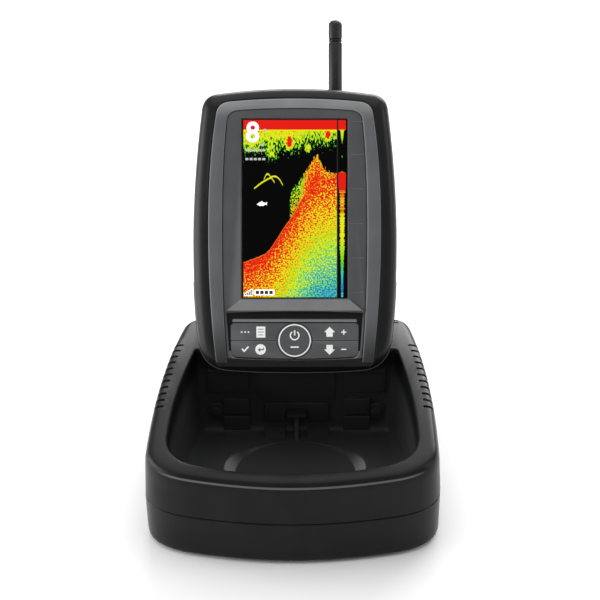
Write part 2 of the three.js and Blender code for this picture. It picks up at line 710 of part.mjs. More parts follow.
function chargeSocket() {
  const barrel = bar('x', SOCKET_RADIUS, SOCKET_OUTER, -33, [SOCKET_H, SOCKET_DEPTH]);
  const bore = bar('x', 2.2, -42, -34.5, [SOCKET_H, SOCKET_DEPTH], 16);
  const pin = bar('x', 0.7, -38.5, -34, [SOCKET_H, SOCKET_DEPTH], 10);
  return barrel.subtract(bore).add(pin);
}

// A rubber flap over the socket, hinged along its front edge.
function chargeCover() {
  const flap = box([-41.8, SOCKET_H - 7, -33], [-40.6, SOCKET_H + 7, COVER_HINGE_DEPTH]);
  const lift = box([-42.8, SOCKET_H - 3, -33], [-41, SOCKET_H + 3, -32]);
  const roll = bar('y', 0.6, SOCKET_H - 7, SOCKET_H + 7, [COVER_HINGE_X, COVER_HINGE_DEPTH], 12);
  return union([flap, lift, roll]);
}

// ---------------------------------------------------------------- display: aerial

const HUMP_TOP = HUMP_MIDDLE + HUMP_HALF_HEIGHT;

function aerialJack() {
  const nut = new THREE.CylinderGeometry(5, 5, 3.4, 6).translate(AERIAL_X, HUMP_TOP + GAP + 1.7, AERIAL_DEPTH);
  const stub = turned([[0, 119], [2.5, 119], [2.5, HUMP_TOP + 6.5], [0, HUMP_TOP + 6.5]], AERIAL_X, AERIAL_DEPTH, 14);
  return solidOf(nut).add(stub);
}

const SWIVEL_LOW = HUMP_TOP + 4.1;

// The turning foot of the aerial, forked at the top for the fold.
function aerialSwivel() {
  const body = turned([
    [2.9, SWIVEL_LOW],
    [4.4, SWIVEL_LOW],
    [4.9, SWIVEL_LOW + 0.8],
    [4.9, KNUCKLE_H - 7],
    [4.4, KNUCKLE_H - 5.4],
    [4.4, KNUCKLE_H + 4.4],
    [0, KNUCKLE_H + 4.4],
    [0, SWIVEL_LOW + 4],
    [2.9, SWIVEL_LOW + 4],
    [2.9, SWIVEL_LOW],
  ], AERIAL_X, AERIAL_DEPTH);
  const round = union([
    bar('x', 4.4, AERIAL_X - 6, AERIAL_X + 6, [KNUCKLE_H, AERIAL_DEPTH], 24),
    box([AERIAL_X - 6, 100, AERIAL_DEPTH - 6], [AERIAL_X + 6, KNUCKLE_H, AERIAL_DEPTH + 6]),
  ]);
  const slot = box([AERIAL_X - 2.2, KNUCKLE_H - 4.4, AERIAL_DEPTH - 8], [AERIAL_X + 2.2, 160, AERIAL_DEPTH + 8]);
  const bore = bar('x', 1.5, AERIAL_X - 8, AERIAL_X + 8, [KNUCKLE_H, AERIAL_DEPTH], 14);
  return body.intersect(round).subtract(slot.add(bore));
}

function aerialPin() {
  return bar('x', 1.2, AERIAL_X - 4, AERIAL_X + 4, [KNUCKLE_H, AERIAL_DEPTH], 14);
}

const WHIP_LOW = KNUCKLE_H + 5;
const CAP_LOW = TIP_H - 12;

function aerialWhip() {
  const rod = turned([
    [0, WHIP_LOW],
    [3.4, WHIP_LOW],
    [AERIAL_RADIUS, WHIP_LOW + 1.2],
    [AERIAL_RADIUS, CAP_LOW - 2.2],
    [AERIAL_RADIUS - 0.5, CAP_LOW - 1.9],
    [AERIAL_RADIUS - 0.5, CAP_LOW - 1.5],
    [AERIAL_RADIUS, CAP_LOW - 1.2],
    [AERIAL_RADIUS, CAP_LOW - GAP],
    [0, CAP_LOW - GAP],
  ], AERIAL_X, AERIAL_DEPTH);
  const tongue = union([
    bar('x', 3.6, AERIAL_X - 1.9, AERIAL_X + 1.9, [KNUCKLE_H, AERIAL_DEPTH], 24),
    box([AERIAL_X - 1.9, KNUCKLE_H, AERIAL_DEPTH - 3], [AERIAL_X + 1.9, WHIP_LOW + 1, AERIAL_DEPTH + 3]),
  ]);
  const bore = bar('x', 1.5, AERIAL_X - 8, AERIAL_X + 8, [KNUCKLE_H, AERIAL_DEPTH], 14);
  return rod.add(tongue).subtract(bore);
}

function aerialTip() {
  const profile = [[0, CAP_LOW], [AERIAL_RADIUS, CAP_LOW], [AERIAL_RADIUS, TIP_H - 3.4]];
  for (let degrees = 20; degrees <= 80; degrees += 20) {
    const angle = THREE.MathUtils.degToRad(degrees);
    profile.push([AERIAL_RADIUS * Math.cos(angle), TIP_H - 3.4 + 3.4 * Math.sin(angle)]);
  }
  profile.push([0, TIP_H]);
  return turned(profile, AERIAL_X, AERIAL_DEPTH);
}

// ---------------------------------------------------------------- assembly

const base = new THREE.Group();
base.add(piece('base_upper_shell', baseUpperShell(), baseBlack));
base.add(piece('base_lower_shell', baseLowerShell(), baseBlack));
FEET.forEach((place, i) => base.add(piece(`foot_${i + 1}`, foot(place), rubberBlack)));
BASE_SCREWS.forEach((place, i) => base.add(piece(`base_screw_${i + 1}`, baseScrew(place), screwSteel)));
base.add(piece('tilt_bracket', tiltBracket(), baseBlack));
BRACKET_SCREWS.forEach((place, i) => base.add(piece(`bracket_screw_${i + 1}`, bracketScrew(place), screwSteel)));
base.add(piece('tilt_knob_right', tiltKnob(1), rubberBlack));
base.add(piece('tilt_knob_left', tiltKnob(-1), rubberBlack));

display.add(piece('front_bezel', frontBezel(), caseBlack));
display.add(piece('trim_frame', trimFrame(), trimGrey));
display.add(piece('fascia', fascia(), fasciaGrey));
display.add(piece('screen_glass', screenGlass(), glassBlack));
display.add(piece('lcd_module', lcdModule(), screwSteel));
display.add(piece('key_menu', key(-45, -GAP, KEY_MIDDLE + GAP / 2, 40), keyGrey));
display.add(piece('key_enter', key(-45, -GAP, 0, KEY_MIDDLE - GAP / 2), keyGrey));
display.add(piece('key_power', powerKey(), keyGrey));
display.add(piece('key_up', key(GAP, 45, KEY_MIDDLE + GAP / 2, 40), keyGrey));
display.add(piece('key_down', key(GAP, 45, 0, KEY_MIDDLE - GAP / 2), keyGrey));
display.add(piece('keypad_mat', keypadMat(), rubberBlack));
display.add(piece('main_board', mainBoard(), boardGreen));
display.add(piece('buzzer', buzzer(), rubberBlack));
display.add(piece('case_gasket', caseGasket(), rubberBlack));
display.add(piece('rear_case', rearCase(), caseBlack));
display.add(piece('battery_pack', batteryPack(), cellBlue));
display.add(piece('battery_door', batteryDoor(), caseBlack));
display.add(piece('door_screw_1', doorScrew(1), screwSteel));
display.add(piece('door_screw_2', doorScrew(-1), screwSteel));
CASE_SCREWS.forEach((place, i) => display.add(piece(`case_screw_${i + 1}`, caseScrew(place), screwSteel)));
display.add(piece('pivot_lug', pivotLug(), caseBlack));
LUG_SCREWS.forEach((place, i) => display.add(piece(`lug_screw_${i + 1}`, lugScrew(place), screwSteel)));
display.add(piece('charge_socket', chargeSocket(), connectorBrass));
display.add(piece('charge_cover', chargeCover(), rubberBlack));
display.add(piece('aerial_jack', aerialJack(), connectorBrass));
display.add(piece('aerial_swivel', aerialSwivel(), rubberBlack));
display.add(piece('aerial_pin', aerialPin(), screwSteel));
display.add(piece('aerial_whip', aerialWhip(), rubberBlack));
display.add(piece('aerial_tip', aerialTip(), rubberBlack));

const finder = new THREE.Group();
finder.add(base, display);
finder.updateMatrixWorld(true);
const bounds = new THREE.Box3().setFromObject(finder, true);
finder.position.set(-(bounds.min.x + bounds.max.x) / 2, -(bounds.min.y + bounds.max.y) / 2, -bounds.min.z);

export default finder;
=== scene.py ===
"""The looks of a portable fish finder on its docking base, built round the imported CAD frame.

Shapes are drawn in millimetres in two local frames: the base's own frame (x right, y back,
z up, origin under its middle) and the display's face frame (x right, y up the face, z out of
it, origin at its lowest point). Each piece is then turned into the row frame, in metres.
"""

import json
import math

import bmesh
import bpy
from mathutils import Matrix, Vector


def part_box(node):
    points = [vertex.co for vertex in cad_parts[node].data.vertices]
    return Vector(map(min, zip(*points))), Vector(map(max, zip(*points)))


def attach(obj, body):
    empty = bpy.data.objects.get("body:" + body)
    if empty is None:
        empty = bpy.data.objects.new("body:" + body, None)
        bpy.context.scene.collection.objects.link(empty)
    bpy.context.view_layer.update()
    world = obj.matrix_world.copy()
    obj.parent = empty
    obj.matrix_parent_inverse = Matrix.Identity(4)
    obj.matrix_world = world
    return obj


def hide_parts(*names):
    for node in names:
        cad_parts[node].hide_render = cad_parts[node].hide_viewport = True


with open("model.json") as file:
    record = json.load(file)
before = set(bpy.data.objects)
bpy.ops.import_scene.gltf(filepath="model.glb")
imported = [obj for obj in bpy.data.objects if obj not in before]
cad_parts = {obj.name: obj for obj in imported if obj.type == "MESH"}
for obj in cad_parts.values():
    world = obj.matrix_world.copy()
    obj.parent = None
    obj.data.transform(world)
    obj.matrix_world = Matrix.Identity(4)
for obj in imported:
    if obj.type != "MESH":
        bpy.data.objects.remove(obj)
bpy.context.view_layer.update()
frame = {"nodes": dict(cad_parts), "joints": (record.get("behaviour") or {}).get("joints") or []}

# ---- frames and driving sizes

MM = 0.001
LEAN = math.radians(60)  # the display's face, measured from level
FACE_Y, FACE_Z = 13, 66  # the display's lowest point in the base's frame

lower_low, lower_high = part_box("base_lower_shell")
BASE = Matrix.Translation((0, (lower_low.y + lower_high.y) / 2, 0)) @ Matrix.Scale(MM, 4)
FACE = BASE @ Matrix.Translation((0, FACE_Y, FACE_Z)) @ Matrix.Rotation(LEAN, 4, "X")

WALL = 2.5
GAP = 0.3
PARTING = 28  # height of the joint between the base's two shells
DECK_TOP = 64
DECK_FRONT = 43
RIM_FRONT = 54.5
BASE_FRONT = -84
SHOULDER_DROP, SHOULDER_INSET = 7.6, 1.1  # where the outer wall turns into the shoulder
BAY_FLOOR = 6.5
RAMP_START = 26
RAMP_SLOPE = math.tan(math.radians(11))
DISC_RADIUS = 36
DISC_Y = -8
DISC_SLOPE = 1.0  # rise over run of the dish's wall

SCREEN_HALF = 31.3
SCREEN_LOW, SCREEN_HIGH = 44.3, 150.6
SCREEN_MIDDLE = (SCREEN_HIGH + SCREEN_LOW) / 2
SCREEN_TALL = (SCREEN_HIGH - SCREEN_LOW) / 2  # half its height
KEY_MIDDLE = 19.3  # height of the power key's centre and of the split between the other keys
POWER_RADIUS = 10.2
KEY_FACE = -0.7

LENS = 101.3
LENS_SHIFT = -0.0670
VIEW_FROM = (27, 43.3, 1000)  # the camera in the face frame: a metre away, a little to the right


def camera_like_the_picture():
    """Looks along the display's face normal, so 30 degrees down."""
    data = bpy.data.cameras.new("camera")
    data.sensor_width = 36
    data.lens = LENS
    data.shift_x = LENS_SHIFT
    data.clip_end = 20
    camera = bpy.data.objects.new("camera", data)
    camera.matrix_world = FACE.normalized()
    camera.location = FACE @ Vector(VIEW_FROM)
    bpy.context.scene.collection.objects.link(camera)
    bpy.context.scene.camera = camera


camera_like_the_picture()

# ---- material helpers

BLACK = (0.0, 0.0, 0.0)


class Value:
    """What a node gives, with the arithmetic it can be part of."""

    def __init__(self, shader, socket):
        self.shader, self.socket = shader, socket

    def __add__(self, other):
        return self.shader.math("ADD", self, other)

    def __sub__(self, other):
        return self.shader.math("SUBTRACT", self, other)

    def __rsub__(self, other):
        return self.shader.math("SUBTRACT", other, self)

    def __mul__(self, other):
        return self.shader.math("MULTIPLY", self, other)

    def __truediv__(self, other):
        return self.shader.math("DIVIDE", self, other)

    def __abs__(self):
        return self.shader.math("ABSOLUTE", self)


class Shader:
    """A node material with one Principled shader, and short calls for its nodes."""

    def __init__(self, name, colour, roughness, metallic=0.0, specular=0.5):
        self.material = bpy.data.materials.new(name)
        self.material.use_nodes = True
        self.tree = self.material.node_tree
        self.main = self.tree.nodes["Principled BSDF"]
        self.feed((*colour, 1), "Base Color")
        self.feed(roughness, "Roughness")
        self.feed(metallic, "Metallic")
        self.feed(specular, "Specular IOR Level")

    def wire(self, value, socket):
        """Feeds a socket from a node, or sets it to a constant."""
        if isinstance(value, Value):
            self.tree.links.new(value.socket, socket)
        else:
            socket.default_value = value

    def feed(self, value, name):
        self.wire(value, self.main.inputs[name])

    def node(self, kind, inputs, output, **settings):
        """Makes a node, fills inputs by name or number, and gives one output."""
        made = self.tree.nodes.new(kind)
        for key, value in settings.items():
            setattr(made, key, value)
        for key, value in inputs.items():
            self.wire(value, made.inputs[key])
        return Value(self, made.outputs[output])

    def math(self, operation, a, b=0.0, clamp=False):
        return self.node("ShaderNodeMath", {0: a, 1: b}, 0, operation=operation, use_clamp=clamp)

    def root(self, value):
        return self.math("SQRT", value)

    def step(self, value, low, high):
        """0 below low, 1 above high, smooth between them; high may lie below low."""
        inputs = {"Value": value, "From Min": low, "From Max": high}
        return self.node("ShaderNodeMapRange", inputs, 0, interpolation_type="SMOOTHSTEP")

    def blend(self, factor, a, b, mode="MIX"):
        a, b = (part if isinstance(part, Value) else (*part, 1) for part in (a, b))
        return self.node("ShaderNodeMix", {0: factor, 6: a, 7: b}, 2, data_type="RGBA", blend_type=mode)

    def ramp(self, value, stops):
        made = self.node("ShaderNodeValToRGB", {0: value}, 0)
        elements = made.socket.node.color_ramp.elements
        while len(elements) < len(stops):
            elements.new(0.5)
        for element, (place, colour) in zip(elements, stops):
            element.position = place
            element.color = (*colour, 1)
        return made

    def curve(self, value, points):
        """A smooth graph through points, for a value between 0 and 1."""
        made = self.node("ShaderNodeFloatCurve", {"Value": value}, 0)
        mapping = made.socket.node.mapping
        graph = mapping.curves[0]
        while len(graph.points) < len(points):
            graph.points.new(0.5, 0.5)
        for point, place in zip(graph.points, points):
            point.location = place
        mapping.update()
        return made

    def noise(self, vector, scale, detail=2.0, rough=0.5):
        inputs = {"Vector": vector, "Scale": scale, "Detail": detail, "Roughness": rough}
        return self.node("ShaderNodeTexNoise", inputs, "Fac")

    def stretched_noise(self, vector, scale, rough=0.5):
        stretched = self.node("ShaderNodeMapping", {"Vector": vector, "Scale": scale}, 0)
        return self.noise(stretched, 1.0, 3.0, rough)

    def blob(self, u, v, at, size):
        """1 at a point, falling to 0 at the edge of an ellipse round it."""
        across, down = (u - at[0]) / size[0], (v - at[1]) / size[1]
        return self.math("SUBTRACT", 1.0, self.root(across * across + down * down), clamp=True)

    def place(self):
        """The point on the piece at rest, in metres in the row frame."""
        return self.node("ShaderNodeTexCoord", {}, "Object")

    def parts(self, vector):
        """The x, y and z of a vector."""
        outputs = self.node("ShaderNodeSeparateXYZ", {0: vector}, 0).socket.node.outputs
        return [Value(self, output) for output in outputs]

    def face_place(self):
        """The point in the display's face frame, in millimetres."""
        to_face = {"Location": FACE.to_translation(), "Rotation": (LEAN, 0, 0), "Scale": (MM, MM, MM)}
        to_face["Vector"] = self.place()
        return self.node("ShaderNodeMapping", to_face, 0, vector_type="TEXTURE")

    def bump(self, height, strength, distance):
        inputs = {"Height": height, "Strength": strength, "Distance": distance}
        self.feed(self.node("ShaderNodeBump", inputs, 0), "Normal")


def moulded(name, dark, light, roughness, grain_mm, grain_depth, specular=0.5, wear_and_sheen=0.0, paint=None):
    """Moulded plastic or rubber: spark-eroded grain, faint mottling and paler convex edges, part rubbed wear
    and part painted edge highlight.
    """
    shader = Shader(name, dark, roughness, specular=specular)
    place = shader.place()
    mottle = shader.step(shader.noise(place, 60.0, 4.0), 0.3, 0.75)
    colour = shader.blend(mottle, dark, light)
    if wear_and_sheen:
        # Convex edges are painted paler: part rubbed wear, part painted highlight where edges catch the
        # light.
        edge = shader.node("ShaderNodeNewGeometry", {}, "Pointiness")
        rubbed_and_sheen = shader.step(edge, 0.515, 0.56) * wear_and_sheen
        colour = shader.blend(rubbed_and_sheen, colour, [min(1, 3.5 * part) for part in light])
    if paint:
        colour = paint(shader, colour)
    shader.feed(colour, "Base Color")
    grain = shader.noise(place, 1 / (grain_mm * MM), 3.0, 0.6)
    smear = shader.noise(place, 22.0, 3.0)
    shader.feed(grain * 0.1 + smear * 0.16 + (roughness - 0.13), "Roughness")
    shader.bump(grain, 0.35, grain_depth * MM)
    return shader.material


def base_painted_light(shader, colour):
    """Painted light on the base's top: the bay's inside painted paler as fill light, the dish's sides painted
    as lit crescents, and a painted highlight line along the front shoulder.
    """
    x, y, z = [part / MM for part in shader.parts(shader.place())]
    side, y = abs(x), y - BASE.to_translation().y / MM
    # The bay's inside lies in shade and is painted paler: painted fill light.
    length = shader.step(y, -68, -64) * shader.step(y, 47, 46)
    bay_painted_fill = length * shader.step(side, 72.5, 71.5) * shader.step(z, 56, 44)
    colour = shader.blend(bay_painted_fill, colour, (0.036, 0.0366, 0.0375))

    # The dish's sloping wall is painted pale at its two sides: painted highlights.
    over = y - DISC_Y
    radius = shader.root(over * over + side * side)
    wall = shader.step(radius, DISC_RADIUS + 0.2, DISC_RADIUS + 0.7) * shader.step(radius, 42.8, 41.6)
    lit_sides = shader.step(side, 20, 30) * shader.step(over, 22, 2) * shader.step(z, 20, 18)
    colour = shader.blend(wall * lit_sides, colour, (0.2, 0.2, 0.205))

    # A thin pale line along the front shoulder: a painted highlight.
    shoulder = y * 0.086 + 58.3  # the line that the shoulder's edge follows across the front
    edge = shader.step(abs(shoulder - z), 0.8, 0.3) * shader.step(y, -66, -73)
    return shader.blend(edge, colour, (0.12, 0.122, 0.126))


def band_painted_shade(shader, colour):
    """Painted shade and highlight: the band turns darker towards its lower ends and a little paler across its
    top, as the light falls on it.
    """
    height = shader.parts(shader.face_place())[1]
    shade = shader.step(height, 2.0, 36.0) * 0.4 + shader.step(height, 150.0, 160.0) * 0.5 + 0.1
    return shader.blend(1.0, colour, shader.blend(shade, BLACK, (2.0, 2.0, 2.0)), "MULTIPLY")


def lower_edge_painted_shade(shader, colour):
    """The plate's lower edge, under the key pocket, is painted black: painted shade below the pocket's lip.
    """
    height = shader.parts(shader.face_place())[1]
    return shader.blend(shader.step(height, 7.3, 6.9), colour, (0.006, 0.006, 0.0062))


def metal(name, colour, roughness):
    """Turned or plated metal with fine directional scratches."""
    shader = Shader(name, colour, roughness, metallic=1.0)
    scratches = shader.stretched_noise(shader.place(), (400, 4000, 4000))
    shader.feed(shader.blend(scratches, [0.8 * part for part in colour], colour), "Base Color")
    shader.feed(scratches * 0.2 + (roughness - 0.1), "Roughness")
    shader.bump(scratches, 0.15, 0.02 * MM)
    return shader.material


def printed(name, colour, glow=0.0):
    """Pale ink: slightly uneven in its cover."""
    shader = Shader(name, colour, 0.5)
    cover = shader.noise(shader.place(), 2500.0)
    ink = shader.blend(cover, [0.86 * part for part in colour], colour)
    shader.feed(ink, "Base Color")
    if glow:
        shader.feed(ink, "Emission Color")
        shader.feed(glow, "Emission Strength")
    return shader.material


# ---- the sounder's picture

RED, ORANGE, YELLOW = (0.83, 0.012, 0.006), (0.95, 0.2, 0.006), (0.86, 0.84, 0.01)
LIME, GREEN = (0.42, 0.84, 0.015), (0.08, 0.62, 0.02)
CYAN, BLUE = (0.04, 0.6, 0.55), (0.02, 0.14, 0.6)
PICTURE_HALF, PICTURE_LOW, PICTURE_HIGH = 30.4, 44.9, 150.0  # the lit part of the glass
MAIN_SHARE = 0.914  # the scrolling picture's share of its width

# In these functions u runs from 0 to 1 across the scrolling picture and v from 0 to 1 down it. A
# layer is a mask and its colour. Graphs of a line give its height over the picture's lower edge.


def surface_clutter(shader, u, v, streaks):
    """A ragged yellow and green band that thins out downwards, with a few strong echoes."""
    echoes = [  # centre, half size, strength
        ((0.49, 0.13), (0.055, 0.045), 0.6), ((0.9, 0.085), (0.05, 0.045), 0.5),
        ((0.69, 0.162), (0.05, 0.04), 0.36), ((0.3, 0.2), (0.09, 0.07), 0.26),
        ((0.08, 0.15), (0.12, 0.06), 0.14),
    ]
    strength = streaks
    for at, size, gain in echoes:
        strength = strength + shader.blob(u, v, at, size) * gain
    excess = strength - (v * 2.5 + shader.step(u, 0.58, 0.68) * 0.09 + 0.135)
    colour = shader.ramp(excess * 3.0, [
        (0.0, GREEN), (0.1, GREEN), (0.2, LIME), (0.42, YELLOW), (0.78, YELLOW), (0.9, RED),
    ])
    return shader.step(excess, 0.0, 0.012), colour


def weedy_mound(shader, u, v, fine, streaks):
    """A mound that stands on the bed: red inside, yellow and green towards its edges."""
    line = shader.curve(u, [
        (0, 0.1), (0.48, 0.53), (0.52, 0.6), (0.56, 0.63), (0.63, 0.67), (0.693, 0.733), (0.74, 0.77),
        (0.79, 0.8), (0.83, 0.76), (0.86, 0.73), (0.9, 0.71), (1, 0.695),
    ])
    inside = v + line + (streaks - 0.5) * 0.12 - 1.0
    body = shader.step(u, 0.58, 0.7)
    level = inside * 2.2 + fine * 0.55 + body * 0.48 - 0.36
    colour = shader.ramp(level, [(0.0, GREEN), (0.12, LIME), (0.26, YELLOW), (0.42, ORANGE), (0.55, RED)])
    solid = shader.step(body * 2.0 + fine, 0.4, 0.5)
    return shader.step(inside, 0.0, 0.006) * shader.step(u, 0.49, 0.51) * solid, colour


def lake_bed(shader, u, v, fine, coarse):
    """Speckled echoes under a climbing line: red where they start, cyan where they are weakest."""
    line = shader.curve(u, [
        (0, 0.198), (0.122, 0.22), (0.245, 0.252), (0.327, 0.305), (0.429, 0.391), (0.531, 0.466),
        (0.633, 0.563), (0.735, 0.627), (0.816, 0.659), (0.939, 0.675), (1, 0.697),
    ])
    below = v + line - (coarse * 0.016 + 0.992)
    level = below * 1.25 + u * 0.08 + fine * 0.44 + coarse * 0.2 - 0.31
    colour = shader.ramp(level, [
        (0.0, RED), (0.2, RED), (0.27, ORANGE), (0.34, YELLOW), (0.52, YELLOW), (0.6, LIME), (0.7, GREEN),
        (0.84, CYAN), (1.0, BLUE),
    ])
    colour = shader.blend(shader.step(below, 0.006, 0.003), colour, ORANGE)
    return shader.step(below, -0.001, 0.001), colour


def fish_arcs(shader, u, v, streaks):
    """Two thin broken arcs in open water."""
    arcs = [  # middle, reach to each side, distance down from the picture's top
        (0.268, 0.148, [(0, 0.43), (0.12, 0.384), (0.2, 0.352), (0.27, 0.331), (0.33, 0.318), (0.38, 0.332),
                        (0.415, 0.362), (1, 0.9)]),
        (0.276, 0.052, [(0, 0.6), (0.225, 0.328), (0.255, 0.305), (0.296, 0.325), (0.33, 0.35), (1, 0.9)]),
    ]
    seen = 0.0
    for middle, reach, points in arcs:
        near = abs(v - shader.curve(u, points)) + streaks * 0.006
        mark = shader.step(near, 0.009, 0.0065) * shader.step(abs(u - middle), reach + 0.008, reach)
        seen = shader.math("MAXIMUM", seen, mark)
    return seen, YELLOW


def newest_echo(shader, place, across, v):
    """The strip at the right: the newest echo, drawn as a stack of bars."""
    bars = shader.stretched_noise(place, (0.01, 1.3, 0.01), 0.65)
    low = shader.ramp((bars - 0.5) * 0.22 + v, [
        (0.0, ORANGE), (0.4, RED), (0.43, ORANGE), (0.46, YELLOW), (0.5, RED), (0.54, YELLOW), (0.68, YELLOW),
        (0.74, LIME), (0.82, GREEN), (0.88, CYAN), (0.96, BLUE), (1.0, CYAN),
    ])
    top = shader.ramp(v, [
        (0.0, RED), (0.054, RED), (0.057, YELLOW), (0.1, LIME), (0.2, GREEN), (0.29, GREEN), (0.295, RED),
    ])
    half = shader.curve(v, [  # the bars' half length
        (0, 0.44), (0.053, 0.42), (0.06, 0.2), (0.1, 0.12), (0.14, 0.0), (0.2, 0.0), (0.205, 0.05),
        (0.215, 0.0), (0.29, 0.0), (0.298, 0.42), (0.388, 0.4), (0.4, 0.3), (0.7, 0.25), (0.84, 0.16),
        (1, 0.12),
    ])
    ragged = (bars * 2.4 - 1.3) * shader.step(v, 0.39, 0.4) + 1.0
    middle = (1 + MAIN_SHARE) / 2 + 0.006
    share = abs(across - middle) / (1 - MAIN_SHARE)
    column = shader.math("LESS_THAN", share, half * ragged)
    return shader.blend(column, BLACK, shader.blend(shader.step(v, 0.386, 0.39), top, low))


def echogram():
    """A made-up sonar picture: surface clutter, open water, and a lake bed that climbs."""
    shader = Shader("echogram", BLACK, 0.15, specular=0.06)
    place = shader.face_place()
    x, y = shader.parts(place)[:2]
    across = x * (0.5 / PICTURE_HALF) + 0.5
    v = (PICTURE_HIGH - y) / (PICTURE_HIGH - PICTURE_LOW)
    u = across / MAIN_SHARE
    fine = shader.step(shader.noise(place, 1.0, 2.0, 0.65), 0.36, 0.64)
    coarse = shader.noise(place, 0.35, 3.0, 0.6)
    streaks = shader.stretched_noise(place, (1.0, 0.42, 1.0), 0.65)

    picture = BLACK
    layers = [
        fish_arcs(shader, u, v, streaks),
        surface_clutter(shader, u, v, streaks),
        weedy_mound(shader, u, v, fine, streaks),
        lake_bed(shader, u, v, fine, coarse),
        (shader.step(v, 0.064, 0.06), YELLOW),
        (shader.step(v, 0.056, 0.053), RED),
    ]
    for mask, colour in layers:
        picture = shader.blend(mask, picture, colour)

    strip = newest_echo(shader, place, across, v)
    whole = shader.blend(shader.math("GREATER_THAN", across, MAIN_SHARE), picture, strip)
    rule = shader.step(abs(across - (MAIN_SHARE + 0.003)), 0.007, 0.005)
    whole = shader.blend(rule, whole, (0.02, 0.02, 0.022))
    inside = shader.step(abs(across - 0.5), 0.502, 0.498) * shader.step(abs(v - 0.5), 0.5015, 0.4985)
    shader.feed(shader.blend(inside, BLACK, whole), "Emission Color")
    shader.feed(0.95, "Emission Strength")
    shader.feed(0.06, "Coat Weight")
    shader.feed(0.05, "Coat Roughness")
    return shader.material


BASE_DARK, BASE_LIGHT = (0.0066, 0.0068, 0.0071), (0.0094, 0.0097, 0.0101)
BASE_PLASTIC = moulded("base_plastic", BASE_DARK, BASE_LIGHT, 0.32, 0.5, 0.04, 0.16)
# The base's top shell: painted fill light in the bay, painted highlights on the dish's sides and along the
# front shoulder.
BASE_TOP_PLASTIC_PAINTED_LIGHT = moulded("base_top_plastic_painted_light", BASE_DARK, BASE_LIGHT, 0.32, 0.5, 0.04, 0.16, paint=base_painted_light)
CASE_PLASTIC = moulded(
    "case_plastic", (0.007, 0.0072, 0.0075), (0.01, 0.0102, 0.0107), 0.36, 0.35, 0.035, 0.22, 0.3,
)
# The trim band's own pale colour, with painted shade towards its lower ends and a painted highlight across
# its top.
TRIM_PLASTIC = moulded(
    "trim_plastic", (0.112, 0.114, 0.118), (0.128, 0.13, 0.134), 0.34, 0.2, 0.012, 0.3, 0.15, band_painted_shade,
)
# Pale plastic for the bead in the case's joint: a painted highlight.
SEAM_HIGHLIGHT_PLASTIC = moulded("seam_highlight_plastic", (0.13, 0.132, 0.136), (0.16, 0.162, 0.166), 0.4, 0.2, 0.012, 0.3)
# The face plate's own grey, with painted shade along its lower edge.
FASCIA_PLASTIC = moulded(
    "fascia_plastic", (0.072, 0.0735, 0.0762), (0.083, 0.0848, 0.0877), 0.4, 0.25, 0.02, 0.3, 0.2,
    lower_edge_painted_shade,
)
# Near black, for the recess round the keys: painted shade.
POCKET_SHADE_PLASTIC = moulded(
    "pocket_shade_plastic", (0.005, 0.005, 0.0052), (0.007, 0.007, 0.0073), 0.45, 0.25, 0.02, 0.2,
)
# Pale plastic for the sill, the ledge and the pocket's lip: painted highlights where they catch the light.
SILL_HIGHLIGHT_PLASTIC = moulded("sill_highlight_plastic", (0.16, 0.163, 0.168), (0.19, 0.193, 0.198), 0.38, 0.25, 0.015)
KEY_RUBBER = moulded("key_rubber", (0.08, 0.082, 0.086), (0.096, 0.0985, 0.103), 0.55, 0.3, 0.03, 0.3, 0.2)
RUBBER = moulded("black_rubber", (0.009, 0.009, 0.009), (0.014, 0.014, 0.014), 0.62, 0.4, 0.04, 0.4)
AERIAL_RUBBER = moulded("aerial_rubber", (0.009, 0.009, 0.0095), (0.013, 0.013, 0.0137), 0.42, 0.6, 0.03, 0.4)
BOARD = moulded("circuit_board", (0.01, 0.08, 0.03), (0.02, 0.13, 0.05), 0.4, 1.5, 0.02)
CELL_WRAP = moulded("cell_wrap", (0.02, 0.06, 0.25), (0.03, 0.09, 0.3), 0.35, 3.0, 0.02)
STEEL = metal("screw_steel", (0.5, 0.51, 0.52), 0.35)
BRASS = metal("connector_brass", (0.75, 0.55, 0.22), 0.3)
# The key ink is given a faint glow of its own: painted light.
WHITE_INK = printed("white_ink", (0.93, 0.93, 0.92), 0.15)
SCREEN_WHITE = printed("screen_white", (0.75, 0.78, 0.8), 0.9)
SCREEN_GREY = printed("screen_grey", (0.35, 0.38, 0.4), 0.6)
SCREEN_DARK = printed("screen_dark", (0.01, 0.01, 0.012))
TICK_INK = printed("tick_ink", (0.16, 0.162, 0.168))
ECHOGRAM = echogram()

# ---- mesh helpers


def smooth_outline(start, curves):
    """A closed outline from its right half: (control x, control y, end x, end y, steps) each."""
    half = [Vector((0, start))]
    for cx, cy, x, y, steps in curves:
        a, b, c = half[-1], Vector((cx, cy)), Vector((x, y))
        for i in range(1, steps + 1):
            t = i / steps
            half.append(a * (1 - t) ** 2 + b * (2 * t * (1 - t)) + c * t ** 2)
    return half + [Vector((-p.x, p.y)) for p in reversed(half[1:-1])]


def inset(outline, distance):
    """Moves each side of an anticlockwise outline inwards by a distance."""
    outline = [Vector(point) for point in outline]
    moved = []
    for i, point in enumerate(outline):
        before = (point - outline[i - 1]).normalized()
        after = (outline[(i + 1) % len(outline)] - point).normalized()
        normal = Vector((-before.y - after.y, before.x + after.x))
        moved.append(point + normal * (2 * distance / normal.length_squared))
    return moved


def ring(outline, distance, height):
    """An outline moved inwards, at a height that may be a function of y."""
    height_at = height if callable(height) else lambda y: height
    return [Vector((p.x, p.y, height_at(p.y))) for p in inset(outline, distance)]


def rings(outline, steps):
    return [ring(outline, distance, height) for distance, height in steps]


def lerp_rings(a, b, t):
    return [p.lerp(q, t) for p, q in zip(a, b)]


